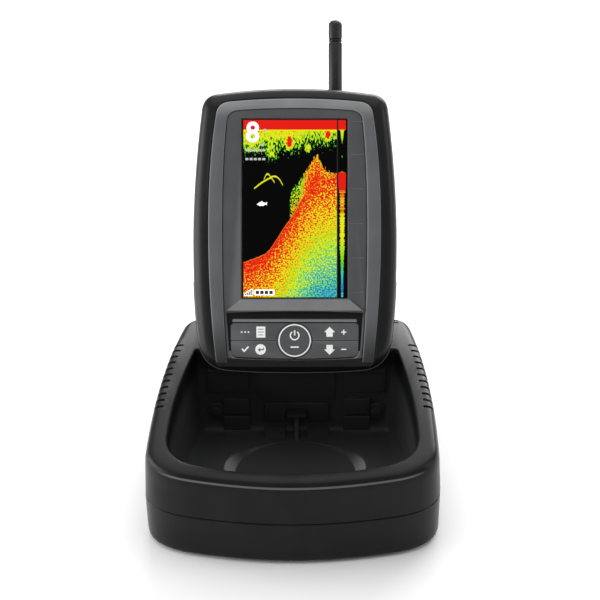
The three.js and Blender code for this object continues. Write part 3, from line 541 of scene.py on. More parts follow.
def loft(rows, loop=False):
    """A closed skin through equal rings; loop joins the last ring to the first instead of caps."""
    made = bmesh.new()
    rows = [[made.verts.new(p) for p in points] for points in rows]
    count = len(rows[0])
    for lower, upper in list(zip(rows, rows[1:])) + ([(rows[-1], rows[0])] if loop else []):
        for i in range(count):
            j = (i + 1) % count
            made.faces.new((lower[i], lower[j], upper[j], upper[i]))
    if not loop:
        made.faces.new(list(reversed(rows[0])))
        made.faces.new(rows[-1])
    return made


def rounded_rectangle(half_w, half_h, radius, x=0.0, y=0.0, steps=6):
    points = []
    for side_x, side_y, start in ((1, -1, -90), (1, 1, 0), (-1, 1, 90), (-1, -1, 180)):
        for step in range(steps + 1):
            angle = math.radians(start + 90 * step / steps)
            points.append(Vector((
                x + side_x * (half_w - radius) + radius * math.cos(angle),
                y + side_y * (half_h - radius) + radius * math.sin(angle),
            )))
    return points


def circle(radius, x=0.0, y=0.0, count=64):
    turns = [2 * math.pi * i / count for i in range(count)]
    return [Vector((x + radius * math.cos(a), y + radius * math.sin(a))) for a in turns]


def prism(outline, low, high):
    return loft(rings(outline, [(0, low), (0, high)]))


def cuboid(low, high):
    outline = [(low[0], low[1]), (high[0], low[1]), (high[0], high[1]), (low[0], high[1])]
    return prism(outline, low[2], high[2])


def rod(axis, radius, start, end, centre, count=48):
    """A round bar along x, y or z; centre is given in the two other axes, in order."""
    made = prism(circle(radius, count=count), start, end)
    if axis == "x":
        turn = Matrix(((0, 0, 1, 0), (1, 0, 0, centre[0]), (0, 1, 0, centre[1]), (0, 0, 0, 1)))
    elif axis == "y":
        turn = Matrix(((0, 1, 0, centre[0]), (0, 0, 1, 0), (1, 0, 0, centre[1]), (0, 0, 0, 1)))
    else:
        turn = Matrix.Translation((*centre, 0))
    bmesh.ops.transform(made, matrix=turn, verts=made.verts)
    return made


def turned(profile, x, z, count=48):
    """A body turned about an axis along y through (x, z): (radius, y) pairs, end to end."""
    made = bmesh.new()
    turns = [2 * math.pi * i / count for i in range(count)]
    rows = []
    for radius, y in profile:
        spots = [(x + radius * math.cos(a), y, z + radius * math.sin(a)) for a in turns]
        rows.append([made.verts.new(spot) for spot in (spots if radius else spots[:1])])
    for lower, upper in zip(rows, rows[1:]):
        for i in range(count):
            j = (i + 1) % count
            corners = [row[k % len(row)] for row, k in ((lower, i), (lower, j), (upper, j), (upper, i))]
            unique = list(dict.fromkeys(corners))
            if len(unique) > 2:
                made.faces.new(unique)
    return made


def as_object(name, made):
    bmesh.ops.recalc_face_normals(made, faces=made.faces)
    mesh = bpy.data.meshes.new(name)
    made.to_mesh(mesh)
    made.free()
    thing = bpy.data.objects.new(name, mesh)
    bpy.context.scene.collection.objects.link(thing)
    return thing


def joined(parts):
    """One bmesh that holds several closed bodies."""
    whole = bmesh.new()
    for part in parts:
        scratch = bpy.data.meshes.new("scratch")
        bmesh.ops.recalc_face_normals(part, faces=part.faces)
        part.to_mesh(scratch)
        part.free()
        whole.from_mesh(scratch)
        bpy.data.meshes.remove(scratch)
    return whole


def bake_modifiers(thing):
    graph = bpy.context.evaluated_depsgraph_get()
    mesh = bpy.data.meshes.new_from_object(thing.evaluated_get(graph))
    thing.modifiers.clear()
    thing.data = mesh


def bevel_edges(thing, width, segments):
    change = thing.modifiers.new("edges", "BEVEL")
    change.width = width
    change.segments = segments
    change.limit_method = "ANGLE"
    change.angle_limit = math.radians(40)
    bake_modifiers(thing)


def combine(thing, other, operation):
    """Adds, cuts or keeps the common part of a second body, which is then removed."""
    cutter = as_object("cutter", other)
    change = thing.modifiers.new("combine", "BOOLEAN")
    change.operation = operation
    change.solver = "EXACT"
    change.use_self = True
    change.object = cutter
    bake_modifiers(thing)
    bpy.data.objects.remove(cutter)


def cut(thing, *others):
    for other in others:
        combine(thing, other, "DIFFERENCE")


def finish_piece(thing, material, slot, *replaced, body="display", place=FACE, bevel=0.0, segments=2):
    """Rounds the edges, turns the piece into the row frame, gives it its material and smooth shading, hangs
    it on its body and hides the CAD pieces it replaces.
    """
    if bevel:
        bevel_edges(thing, bevel, segments)
    mesh = thing.data
    mesh.transform(place)
    mesh.materials.clear()
    smooth(mesh, material, 35)
    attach(thing, body)
    if replaced:
        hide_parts(*replaced)


def smooth(mesh, material, angle):
    mesh.materials.append(material)
    mesh.polygons.foreach_set("use_smooth", [True] * len(mesh.polygons))
    mesh.set_sharp_from_angle(angle=math.radians(angle))


def piece(name, made, *rest, cuts=(), **more):
    """Makes a piece, cuts it and finishes it."""
    thing = as_object(name, made)
    cut(thing, *cuts)
    finish_piece(thing, *rest, **more)


# ---- docking base

base_outline = smooth_outline(BASE_FRONT, [
    (25, -84, 55, -77.4, 8),
    (84, -71.6, 84.2, -50, 8),
    (84.3, 14, 72.6, 71.5, 16),
    (69.8, 84, 57, 84, 8),
    (28, 84, 0, 84, 8),
])

bay_outline = smooth_outline(-73, [
    (30, -73, 54, -65.4, 8),
    (70, -60.3, 70.8, -42, 8),
    (70.6, -4, 61.6, 40.6, 16),
    (61.1, DECK_FRONT, 58.6, DECK_FRONT, 8),
    (29, DECK_FRONT, 0, DECK_FRONT, 8),
])

floor_outline = smooth_outline(-66, [
    (27, -66, 47, -59.5, 8),
    (62, -54, 64.3, -38, 8),
    (64.5, -4, 57.5, 34, 16),
    (56, 38.5, 50, 38.5, 8),
    (25, 38.5, 0, 38.5, 8),
])

GROOVE_DEPTH = 1.3
GROOVE_PROUD = 2.0  # how far the cutting bar stands out of the skin
GROOVE_HALF, GROOVE_FLOOR_HALF = 1.6, 0.6  # half its width, above the skin and at its floor
GROOVE_COUNT, GROOVE_REAR, GROOVE_PITCH = 11, 48, 6.2
SLOT_X, SLOT_HALF = 53.8, (9.8, 0.6)  # the slots across the deck's ends
BLOCK_BACK = DECK_FRONT + 1.6  # the wall's relief is rooted this far back


def rim_height(y):
    forward = max(0.0, DECK_FRONT - y) / (DECK_FRONT - BASE_FRONT)
    return DECK_TOP - (DECK_TOP - RIM_FRONT) * forward ** 1.2


def rim_less(drop):
    return lambda y: rim_height(y) - drop


def wall_height(share):
    """A height up the outer wall: share 0 at the parting line, 1 where the shoulder starts."""
    foot = PARTING + GAP / 2 + 0.35
    return lambda y: foot + (rim_height(y) - SHOULDER_DROP - foot) * share


def bay_floor(y):
    """The floor's height: level at the rear, then a ramp, eased where they meet."""
    rise = (RAMP_START - y) * RAMP_SLOPE
    return BAY_FLOOR + (rise + math.hypot(rise, 0.8)) / 2


def over_floor(rise):
    return lambda y: bay_floor(y) + rise


def dish_edge(angle):
    """The radius at which the dish's sloping wall comes out through the floor."""
    climb = RAMP_SLOPE * (RAMP_START - DISC_Y)
    radius = (DISC_SLOPE * DISC_RADIUS + climb) / (DISC_SLOPE + RAMP_SLOPE * math.sin(angle))
    return max(radius, DISC_RADIUS + 0.6)


def dish_ring(fraction, outside=0.0):
    """A ring round the dish: fraction 0 at its floor, 1 at the edge."""
    points = []
    for p in floor_outline:
        angle = math.atan2(p.y - DISC_Y, p.x)
        radius = DISC_RADIUS + (dish_edge(angle) + outside - DISC_RADIUS) * fraction
        x, y = radius * math.cos(angle), DISC_Y + radius * math.sin(angle)
        points.append(Vector((x, y, BAY_FLOOR + (bay_floor(y) - BAY_FLOOR) * fraction)))
    return points


def outer_skin():
    """Rings from the parting line up the outside and over the shoulder to the rim's top."""
    wall = [(SHOULDER_INSET * share, wall_height(share)) for share in (0, 0.5, 0.75, 0.95, 1)]
    shoulder = [
        (1.3, 6.0), (1.65, 4.2), (2.1, 2.8), (2.7, 1.7), (3.5, 0.9), (4.6, 0.35), (5.9, 0.08), (7.2, 0.0),
    ]
    return rings(base_outline, wall + [(distance, rim_less(drop)) for distance, drop in shoulder])


def bay_skin():
    """Rings from the rim's inner edge down the bay's wall and across its floor to the dish."""
    lip = [(-1.8, 0.0), (-1.1, 0.1), (-0.5, 0.4), (-0.15, 0.9), (0.05, 1.7), (0.25, 4.0)]
    rows = rings(bay_outline, [(distance, rim_less(drop)) for distance, drop in lip])
    foot = ring(floor_outline, -2.2, over_floor(5))
    rows += [lerp_rings(rows[-1], foot, t) for t in (0.33, 0.66)] + [foot]
    ease = [(-1.3, 2.6), (0, 1), (2, 0.2), (4.5, 0)]
    rows += rings(floor_outline, [(distance, over_floor(rise)) for distance, rise in ease])
    edge, start = dish_ring(1.0, 0.5), rows[-1]
    for t in (0.25, 0.5, 0.75):
        rows.append([Vector((p.x, p.y, bay_floor(p.y))) for p in lerp_rings(start, edge, t)])
    rows += [edge] + [dish_ring(fraction) for fraction in (0.96, 0.5, 0.08, 0.0)]
    return rows + [[p.lerp(Vector((0, DISC_Y, BAY_FLOOR)), 0.03) for p in rows[-1]]]


def under_side():
    """Rings from under the dish back out along the tub's outside to the skirt's lower edge."""
    return [
        [Vector((p.x, p.y, BAY_FLOOR - WALL)) for p in dish_ring(0.0)],
        ring(floor_outline, 1.0, over_floor(-WALL)),
        ring(bay_outline, -0.8, over_floor(5)),
        ring(bay_outline, -WALL, rim_less(7)),
        ring(base_outline, WALL + 1.6, rim_less(7)),
        ring(base_outline, WALL, PARTING + GAP / 2),
        ring(base_outline, 0.35, PARTING + GAP / 2),
    ]


def groove(side, y):
    """One shallow groove that wraps over the shoulder, as the bar that cuts it."""
    reach = min((p for p in base_outline if p.x >= 0), key=lambda p: abs(p.y - y)).x
    path = [  # distance inwards from the outline, drop below the rim
        (8.2, -0.9), (7.2, 0.0), (5.3, 0.2), (4.1, 0.7), (3.0, 1.6), (2.2, 2.9), (1.6, 4.6), (1.2, 6.5),
        (0.9, 9.5), (0.1, 13),
    ]
    sections = []
    for i, (distance, drop) in enumerate(path):
        before, after = Vector(path[max(i - 1, 0)]), Vector(path[min(i + 1, len(path) - 1)])
        along = (after - before).normalized()
        out = Vector((along.y, -along.x))
        middle = Vector((reach - distance, rim_height(y) - drop))
        low = middle - out * (GROOVE_DEPTH if 0 < i < len(path) - 1 else 0.0)
        high = middle + out * GROOVE_PROUD
        sections.append([
            (side * low.x, y - GROOVE_FLOOR_HALF, low.y), (side * low.x, y + GROOVE_FLOOR_HALF, low.y),
            (side * high.x, y + GROOVE_HALF, high.y), (side * high.x, y - GROOVE_HALF, high.y),
        ])
    return loft(sections)


def profile_bar(profile, start, end):
    """A bar along x with a (y, z) section."""
    return loft([[(x, y, z) for y, z in profile] for x in (start, end)])


def rear_wall_relief():
    """The pads, blocks and T-shaped rib on the bay's rear wall."""
    twin_blocks = [  # left, right, front, low, high
        (29, 54.5, 40, 34.7, 50.4), (29, 45.3, 39.4, 18.5, 30.3), (29, 45.3, 38.6, 6, 17.6),
        (6.8, 20, 39.8, 13.4, 27),
    ]
    parts = []
    for left, right, front, low, high in twin_blocks:
        parts.append(cuboid((left, front, low), (right, BLOCK_BACK, high)))
        parts.append(cuboid((-right, front, low), (-left, BLOCK_BACK, high)))
    for side in (1, -1):
        parts.append(rod("y", 6.5, 40.4, BLOCK_BACK, (side * 49.6, 20)))
        parts.append(rod("y", 3.2, 39.6, BLOCK_BACK, (side * 49.6, 20)))
        wedge = [(38.5, 10.5), (28, 5), (BLOCK_BACK, 5), (BLOCK_BACK, 10.5)]
        parts.append(profile_bar(wedge, side * 6.5, side * 20))
    parts.append(cuboid((-24, 41, 28), (24, BLOCK_BACK, 54)))
    parts.append(cuboid((-7.5, 39.9, 21.8), (7.5, BLOCK_BACK, 26.9)))
    parts.append(cuboid((-6, 36, 18.1), (6, BLOCK_BACK, 20)))
    web = [(36.1, 19.9), (36.1, 16.5), (28, 5), (BLOCK_BACK, 5), (BLOCK_BACK, 19.9)]
    parts.append(profile_bar(web, -1.5, 1.5))
    relief = as_object("relief", joined(parts))
    change = relief.modifiers.new("edges", "BEVEL")
    change.width, change.segments = 0.5, 3
    bake_modifiers(relief)
    made = bmesh.new()
    made.from_mesh(relief.data)
    bpy.data.objects.remove(relief)
    return made


def base_shells():
    shell = as_object("upper_shell", loft(under_side() + outer_skin() + bay_skin()))
    combine(shell, rear_wall_relief(), "UNION")
    cuts = [groove(side, GROOVE_REAR - GROOVE_PITCH * i) for i in range(GROOVE_COUNT) for side in (1, -1)]
    for y in (74.8, 77.2):
        for side in (1, -1):
            cuts.append(prism(rounded_rectangle(*SLOT_HALF, 0.55, side * SLOT_X, y, 4), 60.5, 70))
    cut(shell, joined(cuts))
    finish_piece(
        shell, BASE_TOP_PLASTIC_PAINTED_LIGHT, "base_plastic", "base_upper_shell", body="base", place=BASE, bevel=0.18,
    )
    skin = [
        (3.0, 1.5), (2.0, 1.62), (1.25, 2.0), (0.75, 2.7), (0.45, 3.8), (0.3, 6.0), (0.15, 16.0),
        (0.0, PARTING - 0.6), (0.45, PARTING - GAP / 2), (WALL, PARTING - GAP / 2), (WALL + 0.3, 7.0),
        (WALL + 3, 3.7),
    ]
    below = loft(rings(base_outline, skin))
    piece("lower_shell", below, BASE_PLASTIC, "base_plastic", "base_lower_shell", body="base", place=BASE)


# ---- display housing

case_outline = smooth_outline(0, [
    (28, 0, 42, 1.6, 8),
    (55, 3.5, 57.8, 18.5, 12),
    (60.9, 45, 60.9, 78, 8),
    (60.9, 115, 55.7, 157, 10),
    (54.4, 165.4, 46, 166.4, 12),
    (24, 169.6, 0, 169.6, 8),
])

trim_outline = smooth_outline(4.6, [
    (22, 4.6, 44, 4.9, 8),
    (46.2, 5, 46.8, 8, 12),
    (51.2, 45, 51.2, 85, 8),
    (51.2, 125, 46.4, 154, 10),
    (45.4, 160, 38.5, 160.8, 12),
    (20, 162.6, 0, 162.6, 8),
])

fascia_outline = smooth_outline(4.9, [
    (20, 4.9, 37, 5.1, 8),
    (39.4, 5.3, 39.9, 8, 12),
    (42.8, 40, 42.8, 85, 8),
    (42.8, 125, 40, 150.5, 10),
    (39.2, 155, 33, 155.6, 12),
    (17, 156.9, 0, 156.9, 8),
])

keypad_outline = smooth_outline(8.5, [
    (20, 8.5, 34.5, 9.6, 8),
    (37.2, 9.8, 37.6, 12.8, 8),
    (37.9, 20, 37.9, 27.0, 2),
    (37.9, 29.6, 35.3, 29.6, 8),
    (18, 29.6, 0, 29.6, 4),
])

pocket_outline = smooth_outline(6.6, [
    (20, 6.7, 33.5, 7.6, 8),
    (38.3, 8.0, 38.9, 13.0, 8),
    (39.6, 24, 40.6, 35.6, 4),
    (20, 36.8, 0, 36.8, 4),
])


def power_hole(clearance):
    return rod("z", POWER_RADIUS + clearance, -9, 3, (0, KEY_MIDDLE), 72)


def bezel():
    """The dark front shell: a rounded ring round the trim band."""
    skin = rings(case_outline, [
        (0.0, -11.0), (0.0, -9.5), (0.15, -7.6), (0.55, -5.8), (1.2, -4.3), (2.1, -3.05),
        (3.2, -2.05), (4.6, -1.3), (6.2, -0.72), (7.6, -0.4),
    ])
    lip = rings(trim_outline, [(-0.9, -0.12), (-0.3, -0.35), (-0.3, -2.9), (5.0, -2.9), (5.0, -5.2)])
    back = rings(case_outline, [(WALL + 0.6, -5.2), (WALL, -11)])
    piece("bezel", loft(skin + lip + back, loop=True), CASE_PLASTIC, "case_plastic", "front_bezel")


def trim_band():
    """The paler band, an inverted U with crowned section, between bezel and fascia."""
    section = [  # share of the way from the outer to the inner edge, height
        (0.0, -2.6), (0.0, -0.15), (0.04, 0.1), (0.1, 0.22), (0.3, 0.3), (0.6, 0.28), (0.85, 0.12),
        (0.94, -0.1), (1.0, -0.45), (1.0, -2.6),
    ]
    inner_line = inset(fascia_outline, -GAP)
    first = next(i for i, p in enumerate(inner_line) if p.y > 6.0 and p.x > 0)
    sections = []
    for i in range(first, len(trim_outline) - first + 1):
        sections.append([(*trim_outline[i].lerp(inner_line[i], share), z) for share, z in section])
    piece("trim_band", loft(sections), TRIM_PLASTIC, "trim_plastic", "trim_frame")


def fascia():
    """The face plate, with the screen's bevelled window, the sloping sill and the key pocket."""
    plate = as_object("fascia_plate", loft(rings(fascia_outline, [(0, -2.6), (0, -1.1), (0.35, -0.8)])))
    cut(plate, prism(pocket_outline, -1.75, 3))
    back = [(-41.0, 36.7, -0.95), (41.0, 36.7, -0.95), (32.2, 44.0, -0.95), (-32.2, 44.0, -0.95)]
    slope = [(-40.6, 36.7, 1.15), (40.6, 36.7, 1.15), (32.2, 44.0, -0.7), (-32.2, 44.0, -0.7)]
    combine(plate, loft([back, slope]), "UNION")
    window = []
    for room, radius, height in ((GAP, 0.5, -5), (GAP, 0.5, -1.2), (1.1, 0.8, -0.4)):
        half = SCREEN_HALF + room, SCREEN_TALL + room
        window.append(ring(rounded_rectangle(*half, radius, 0, SCREEN_MIDDLE, 2), 0, height))
    cut(plate, loft(window))
    cut(plate, prism(inset(keypad_outline, -0.2), -5, 3), power_hole(0.25))
    finish_piece(plate, FASCIA_PLASTIC, "fascia_plastic", "fascia", bevel=0.16)


def sill_highlight():
    """Painted highlights: a thin pale facing on the sill's upward slope and a pale strip on the ledge above
    the keys.
    """
    spots = [(-39.9, 37.2, 1.05), (39.9, 37.2, 1.05), (32.1, 43.7, -0.58), (-32.1, 43.7, -0.58)]
    facing = loft([[Vector(p) + Vector((0, 0, rise)) for p in spots] for rise in (-0.1, 0.06)])
    top = [(-36.6, 32.2, -1.75), (36.6, 32.2, -1.75), (36.9, 30.3, -0.75), (-36.9, 30.3, -0.75)]
    ledge = loft([[(x, y - 0.05, -2.2) for x, y, z in top], top])
    both = joined([facing, ledge])
    piece("sill_highlight_facing", both, SILL_HIGHLIGHT_PLASTIC, "fascia_plastic", bevel=0.04, segments=1)


def pocket_shade_sheet():
    """A near-black sheet on the floor of the recess between the sill and the keys: painted shade."""
    sheet = prism(inset(pocket_outline, 0.12), -1.9, -1.66)
    cuts = prism(inset(keypad_outline, -0.22), -5, 3), power_hole(0.28)
    piece("pocket_shade_sheet", sheet, POCKET_SHADE_PLASTIC, "fascia_plastic", cuts=cuts)


def lower_part(outline, top):
    """The numbers of an outline's points below a height, in order from left to right."""
    low = [i for i, p in enumerate(outline) if p.y < top]
    return [i for i in low if outline[i].x < 0] + [i for i in low if outline[i].x >= 0]


def edge_bar(outline, top, section):
    """A bar along an outline's lower part; its section is (distance inwards, height) pairs."""
    rows = rings(outline, section)
    return loft([[row[i] for row in rows] for i in lower_part(outline, top)])


def pocket_lip():
    """The lower lip of the recess round the keys, in pale plastic: a painted highlight."""
    bar = edge_bar(pocket_outline, 14, [(0.12, -1.9), (1.25, -1.9), (1.25, -1.62), (0.12, -0.84)])
    piece("pocket_lip", bar, SILL_HIGHLIGHT_PLASTIC, "fascia_plastic")


def case_seam_highlight():
    """A fine pale bead in the joint between the case's halves, round its lower end: a painted highlight where
    the joint's edge catches the light.
    """
    bar = edge_bar(case_outline, 60, [(0.3, -9.2), (-0.28, -9.2), (-0.28, -8.5), (0.3, -8.5)])
    piece("case_seam_highlight", bar, SEAM_HIGHLIGHT_PLASTIC, "case_plastic")


def scale_ticks():
    """Six moulded tick marks beside the screen."""
    parts = []
    for y in (149.2, 129.6, 109.2, 88.6, 68.2, 47.8):
        parts.append(cuboid((33.2, y - 0.09, -0.85), (39.6, y + 0.09, -0.74)))
        parts.append(rod("z", 0.36, -0.85, -0.72, (39.9, y), 16))
    piece("scale_ticks", joined(parts), TICK_INK, "fascia_plastic")


def screen():
    outline = rounded_rectangle(SCREEN_HALF, SCREEN_TALL, 0.6, 0, SCREEN_MIDDLE, 4)
    glass = loft(rings(outline, [(0, -2.3), (0, -1.1), (0.06, -0.97), (0.2, -0.9)]))
    piece("screen_picture", glass, ECHOGRAM, "screen_cover", "screen_glass")


def depth_figure(left, low, wide, tall):
    """A generic figure, fitted to a box on the glass."""
    text = bpy.data.curves.new("depth_figure", "FONT")
    text.body = "8"
    text.size = 15
    text.offset = 0.32
    text.extrude = 0.02
    text.resolution_u = 4
    source = bpy.data.objects.new("depth_figure_source", text)
    bpy.context.scene.collection.objects.link(source)
    graph = bpy.context.evaluated_depsgraph_get()
    shape = bmesh.new()
    shape.from_mesh(bpy.data.meshes.new_from_object(source.evaluated_get(graph)))
    bpy.data.objects.remove(source)
    x, y = [v.co.x for v in shape.verts], [v.co.y for v in shape.verts]
    scale = Matrix.Diagonal((wide / (max(x) - min(x)), tall / (max(y) - min(y)), 1, 1))
    move = Matrix.Translation((left, low, -0.86)) @ scale @ Matrix.Translation((-min(x), -min(y), 0))
    bmesh.ops.transform(shape, matrix=move, verts=shape.verts)
    return shape


def tiles(count, left, low, pitch, size, z, grow=0.0, climb=0.0):
    """A row of small rectangles; grow lengthens each over the last, climb lifts it."""
    parts = []
    for i in range(count):
        x, y = left + pitch * i, low + climb * i
        parts.append(cuboid((x, y, z - 0.07), (x + size[0], y + size[1] + grow * i, z)))
    return parts


def screen_marks():
    """The white depth figure, the fish symbol and the status row of the sounder's picture."""
    fish = [
        (-22.4, 100.0), (-20.9, 99.1), (-18.4, 99.2), (-17.3, 100.0), (-16.3, 99.4), (-16.6, 100.4),
        (-16.2, 101.4), (-17.5, 100.8), (-18.8, 101.3), (-19.4, 102.0), (-20.0, 101.5), (-21.2, 101.0),
    ]
    signal = [(-30.0, 45.7), (-25.0, 45.7), (-25.0, 49.8), (-26.2, 49.8), (-30.0, 47.0)]
    marks = [
        depth_figure(-28.8, 136.7, 7.8, 12.4), prism(fish, -0.93, -0.84),
        prism(rounded_rectangle(6.3, 1.75, 1.2, -18.0, 47.8, 5), -0.95, -0.86), prism(signal, -0.95, -0.86),
    ]
    readings = tiles(5, -29.2, 131.4, 2.5, (1.8, 1.3), -0.86) + tiles(5, -29.2, 126.2, 2.5, (1.8, 1.3), -0.86)
    readings += tiles(2, -19.9, 134.5, 1.6, (1.4, 1.6), -0.86, climb=8.6)
    levels = tiles(4, -29.6, 46.2, 1.15, (0.7, 0.9), -0.83, grow=0.7)
    levels += tiles(4, -23.1, 46.8, 2.7, (2.0, 2.0), -0.83)
    piece("screen_marks", joined(marks), SCREEN_WHITE, "screen_cover")
    piece("screen_readings", joined(readings), SCREEN_GREY, "screen_cover")
    piece("screen_levels", joined(levels), SCREEN_DARK, "screen_cover")


# ---- keys and their symbols

KEY_SPLIT = 0.15  # half the gap between an upper and a lower key
INK_LOW, INK_HIGH = KEY_FACE - 0.03, KEY_FACE + 0.04
POWER_TOP = -0.6


def keycap(name, side, low, high):
    """One keycap: its share of the keypad's outline, cut back round the power key."""
    cap = as_object(f"{name}_cap", prism(keypad_outline, -4.6, KEY_FACE))
    left, right = sorted((side * 0.4, side * 45))
    combine(cap, cuboid((left, low, -9), (right, high, 3)), "INTERSECT")
    cut(cap, power_hole(0.35))
    finish_piece(cap, KEY_RUBBER, "key_rubber", f"key_{name}", body=f"{name}_key", bevel=0.28, segments=3)


def arc_band(radius, width, x, y, z_low, z_high, start=0.0, end=360.0, count=64):
    """A flat ring, or part of one, in the plane of the face."""
    whole = end - start >= 360
    inner, outer = radius - width / 2, radius + width / 2
    corners = [(inner, z_low), (outer, z_low), (outer, z_high), (inner, z_high)]
    sections = []
    for i in range(count if whole else count + 1):
        angle = math.radians(start + (end - start) * i / count)
        sections.append([(x + r * math.cos(angle), y + r * math.sin(angle), z) for r, z in corners])
    return loft(sections, loop=whole)


def ink(name, parts, key, material=WHITE_INK):
    piece(name, joined(parts), material, "key_rubber", body=f"{key}_key")


def key_symbols():
    """Generic printed symbols, each riding on its own key."""
    ring_band = arc_band(9.3, 0.7, 0, KEY_MIDDLE, POWER_TOP - 0.06, POWER_TOP + 0.03)
    ink("power_ring", [ring_band], "power")
    ink("power_symbol", [
        arc_band(2.55, 0.75, 0, KEY_MIDDLE + 3.0, -0.8, -0.62, 125, 415, 40),
        cuboid((-0.38, KEY_MIDDLE + 3.0, -0.8), (0.38, KEY_MIDDLE + 6.1, -0.62)),
        cuboid((-2.4, KEY_MIDDLE - 4.3, -0.86), (2.4, KEY_MIDDLE - 3.5, -0.66)),
    ], "power")
    ink("menu_symbol", [cuboid((-22.7, 21.0, INK_LOW), (-17.4, 27.6, INK_HIGH))], "menu")
    lines = [cuboid((-21.7, y, INK_LOW), (-18.4, y + 0.42, INK_HIGH + 0.02)) for y in (22.4, 24.1, 25.8)]
    ink("menu_lines", lines, "menu", KEY_RUBBER)
    ink("menu_dots", [rod("z", 0.5, INK_LOW, INK_HIGH, (x, 24.3), 20) for x in (-31.4, -29.4, -27.4)], "menu")
    ink("enter_disc", [prism(circle(3.15, -20.2, 14.0, 40), INK_LOW, INK_HIGH)], "enter")
    arrow = [
        (-21.9, 13.8), (-20.4, 15.0), (-20.4, 14.1), (-18.9, 14.1), (-18.9, 15.1), (-18.3, 15.1),
        (-18.3, 13.5), (-20.4, 13.5), (-20.4, 12.6),
    ]
    ink("enter_arrow", [prism(arrow, INK_LOW, INK_HIGH + 0.02)], "enter", KEY_RUBBER)
    tick = [(-31.6, 14.1), (-30.9, 14.7), (-29.9, 13.6), (-27.7, 16.0), (-27.0, 15.4), (-29.9, 12.3)]
    ink("enter_tick", [prism(tick, INK_LOW, INK_HIGH)], "enter")
    up = [(18.8, 21.5), (22.6, 21.5), (22.6, 24.2), (23.9, 24.2), (20.7, 27.4), (17.5, 24.2), (18.8, 24.2)]
    ink("up_symbol", [prism(up, INK_LOW, INK_HIGH)], "up")
    down = [(x, 38.2 - y) for x, y in reversed(up)]
    ink("down_symbol", [prism(down, INK_LOW, INK_HIGH)], "down")
    across = cuboid((27.6, 23.9, INK_LOW), (30.6, 24.6, INK_HIGH))
    ink("up_plus", [across, cuboid((28.75, 22.75, INK_LOW), (29.45, 25.75, INK_HIGH - 0.01))], "up")
    ink("down_minus", [cuboid((27.6, 13.7, INK_LOW), (30.6, 14.4, INK_HIGH))], "down")


def keypad():
    for name, side, low, high in (
        ("menu", -1, KEY_MIDDLE + KEY_SPLIT, 40), ("enter", -1, 0, KEY_MIDDLE - KEY_SPLIT),
        ("up", 1, KEY_MIDDLE + KEY_SPLIT, 40), ("down", 1, 0, KEY_MIDDLE - KEY_SPLIT),
    ):
        keycap(name, side, low, high)
    dished = [(0, -4.6), (0, -1.1), (0.12, -0.82), (0.4, -0.66), (1.4, -0.6), (4, -0.72), (8, -0.85)]
    cap = loft(rings(circle(POWER_RADIUS, 0, KEY_MIDDLE, 72), dished))
    piece("power_cap", cap, KEY_RUBBER, "key_rubber", "key_power", body="power_key")
    key_symbols()


# ---- back of the display

HUMP_Y = 92  # the battery hump's middle
SCREW_X, SCREW_LOW, SCREW_HIGH = 46, 22, 149
DOOR_SCREW_X = 35.3
AERIAL_X, AERIAL_Z = 24, -30
PIN_Y = 146  # the aerial folds about a pin at this height
SLEEVE_LOW, CAP_LOW, AERIAL_TIP = 151.0, 202.2, 214.2
AERIAL_RADIUS = 4.15


def hump_box(half_w, half_h, radius, low, high, steps=6):
    return prism(rounded_rectangle(half_w, half_h, radius, 0, HUMP_Y, steps), low, high)


def back_shell():
    """The rounded back of the case with the battery hump moulded on."""
    case = as_object("back_shell", loft(rings(case_outline, [
        (7.0, -24.0), (5.0, -23.85), (3.4, -23.2), (2.2, -22.2), (1.3, -20.8), (0.6, -18.6), (0.2, -15.5),
        (0.0, -11.7), (0.3, -11.3), (WALL, -11.3), (WALL + 0.5, -16), (5.5, -21.5),
    ])))
    hump = rings(rounded_rectangle(40, 34, 8, 0, HUMP_Y, 8), [
        (3.0, -36.0), (1.8, -35.75), (0.9, -35.1), (0.3, -34.2), (0.0, -33.0), (0.0, -25.2), (-0.5, -24.4),
        (-1.2, -24.0), (-1.2, -22.5),
    ])
    combine(case, loft(hump), "UNION")
    cut(case, hump_box(36.5, 30.5, 5, -31.8, -20))
    cut(case, hump_box(37.3, 31.3, 5, -40, -33.8, 8), hump_box(33.4, 29, 4, -34, -30))
    for y in (SCREW_LOW, SCREW_HIGH):
        cut(case, *(rod("z", 3.4, -26, -21.6, (side * SCREW_X, y), 32) for side in (1, -1)))
    cut(case, rod("x", 3.6, -45, -36, (112, -28.4), 32))
    finish_piece(case, CASE_PLASTIC, "case_plastic", "rear_case", bevel=0.2)


def battery_cover():
    outline = rounded_rectangle(37, 31, 5, 0, HUMP_Y, 8)
    skin = rings(outline, [(0.5, -35.9), (0.15, -35.75), (0, -35.4), (0, -34.1)])
    grips = [prism(rounded_rectangle(14, 0.8, 0.7, 0, y, 4), -37, -35.2) for y in (68, 72, 76)]
    holes = [rod("z", 1.3, -38, -33, (side * DOOR_SCREW_X, HUMP_Y), 24) for side in (1, -1)]
    cuts = joined(grips), joined(holes)
    piece("battery_cover", loft(skin), CASE_PLASTIC, "case_plastic", "battery_door", bevel=0.12, cuts=cuts)


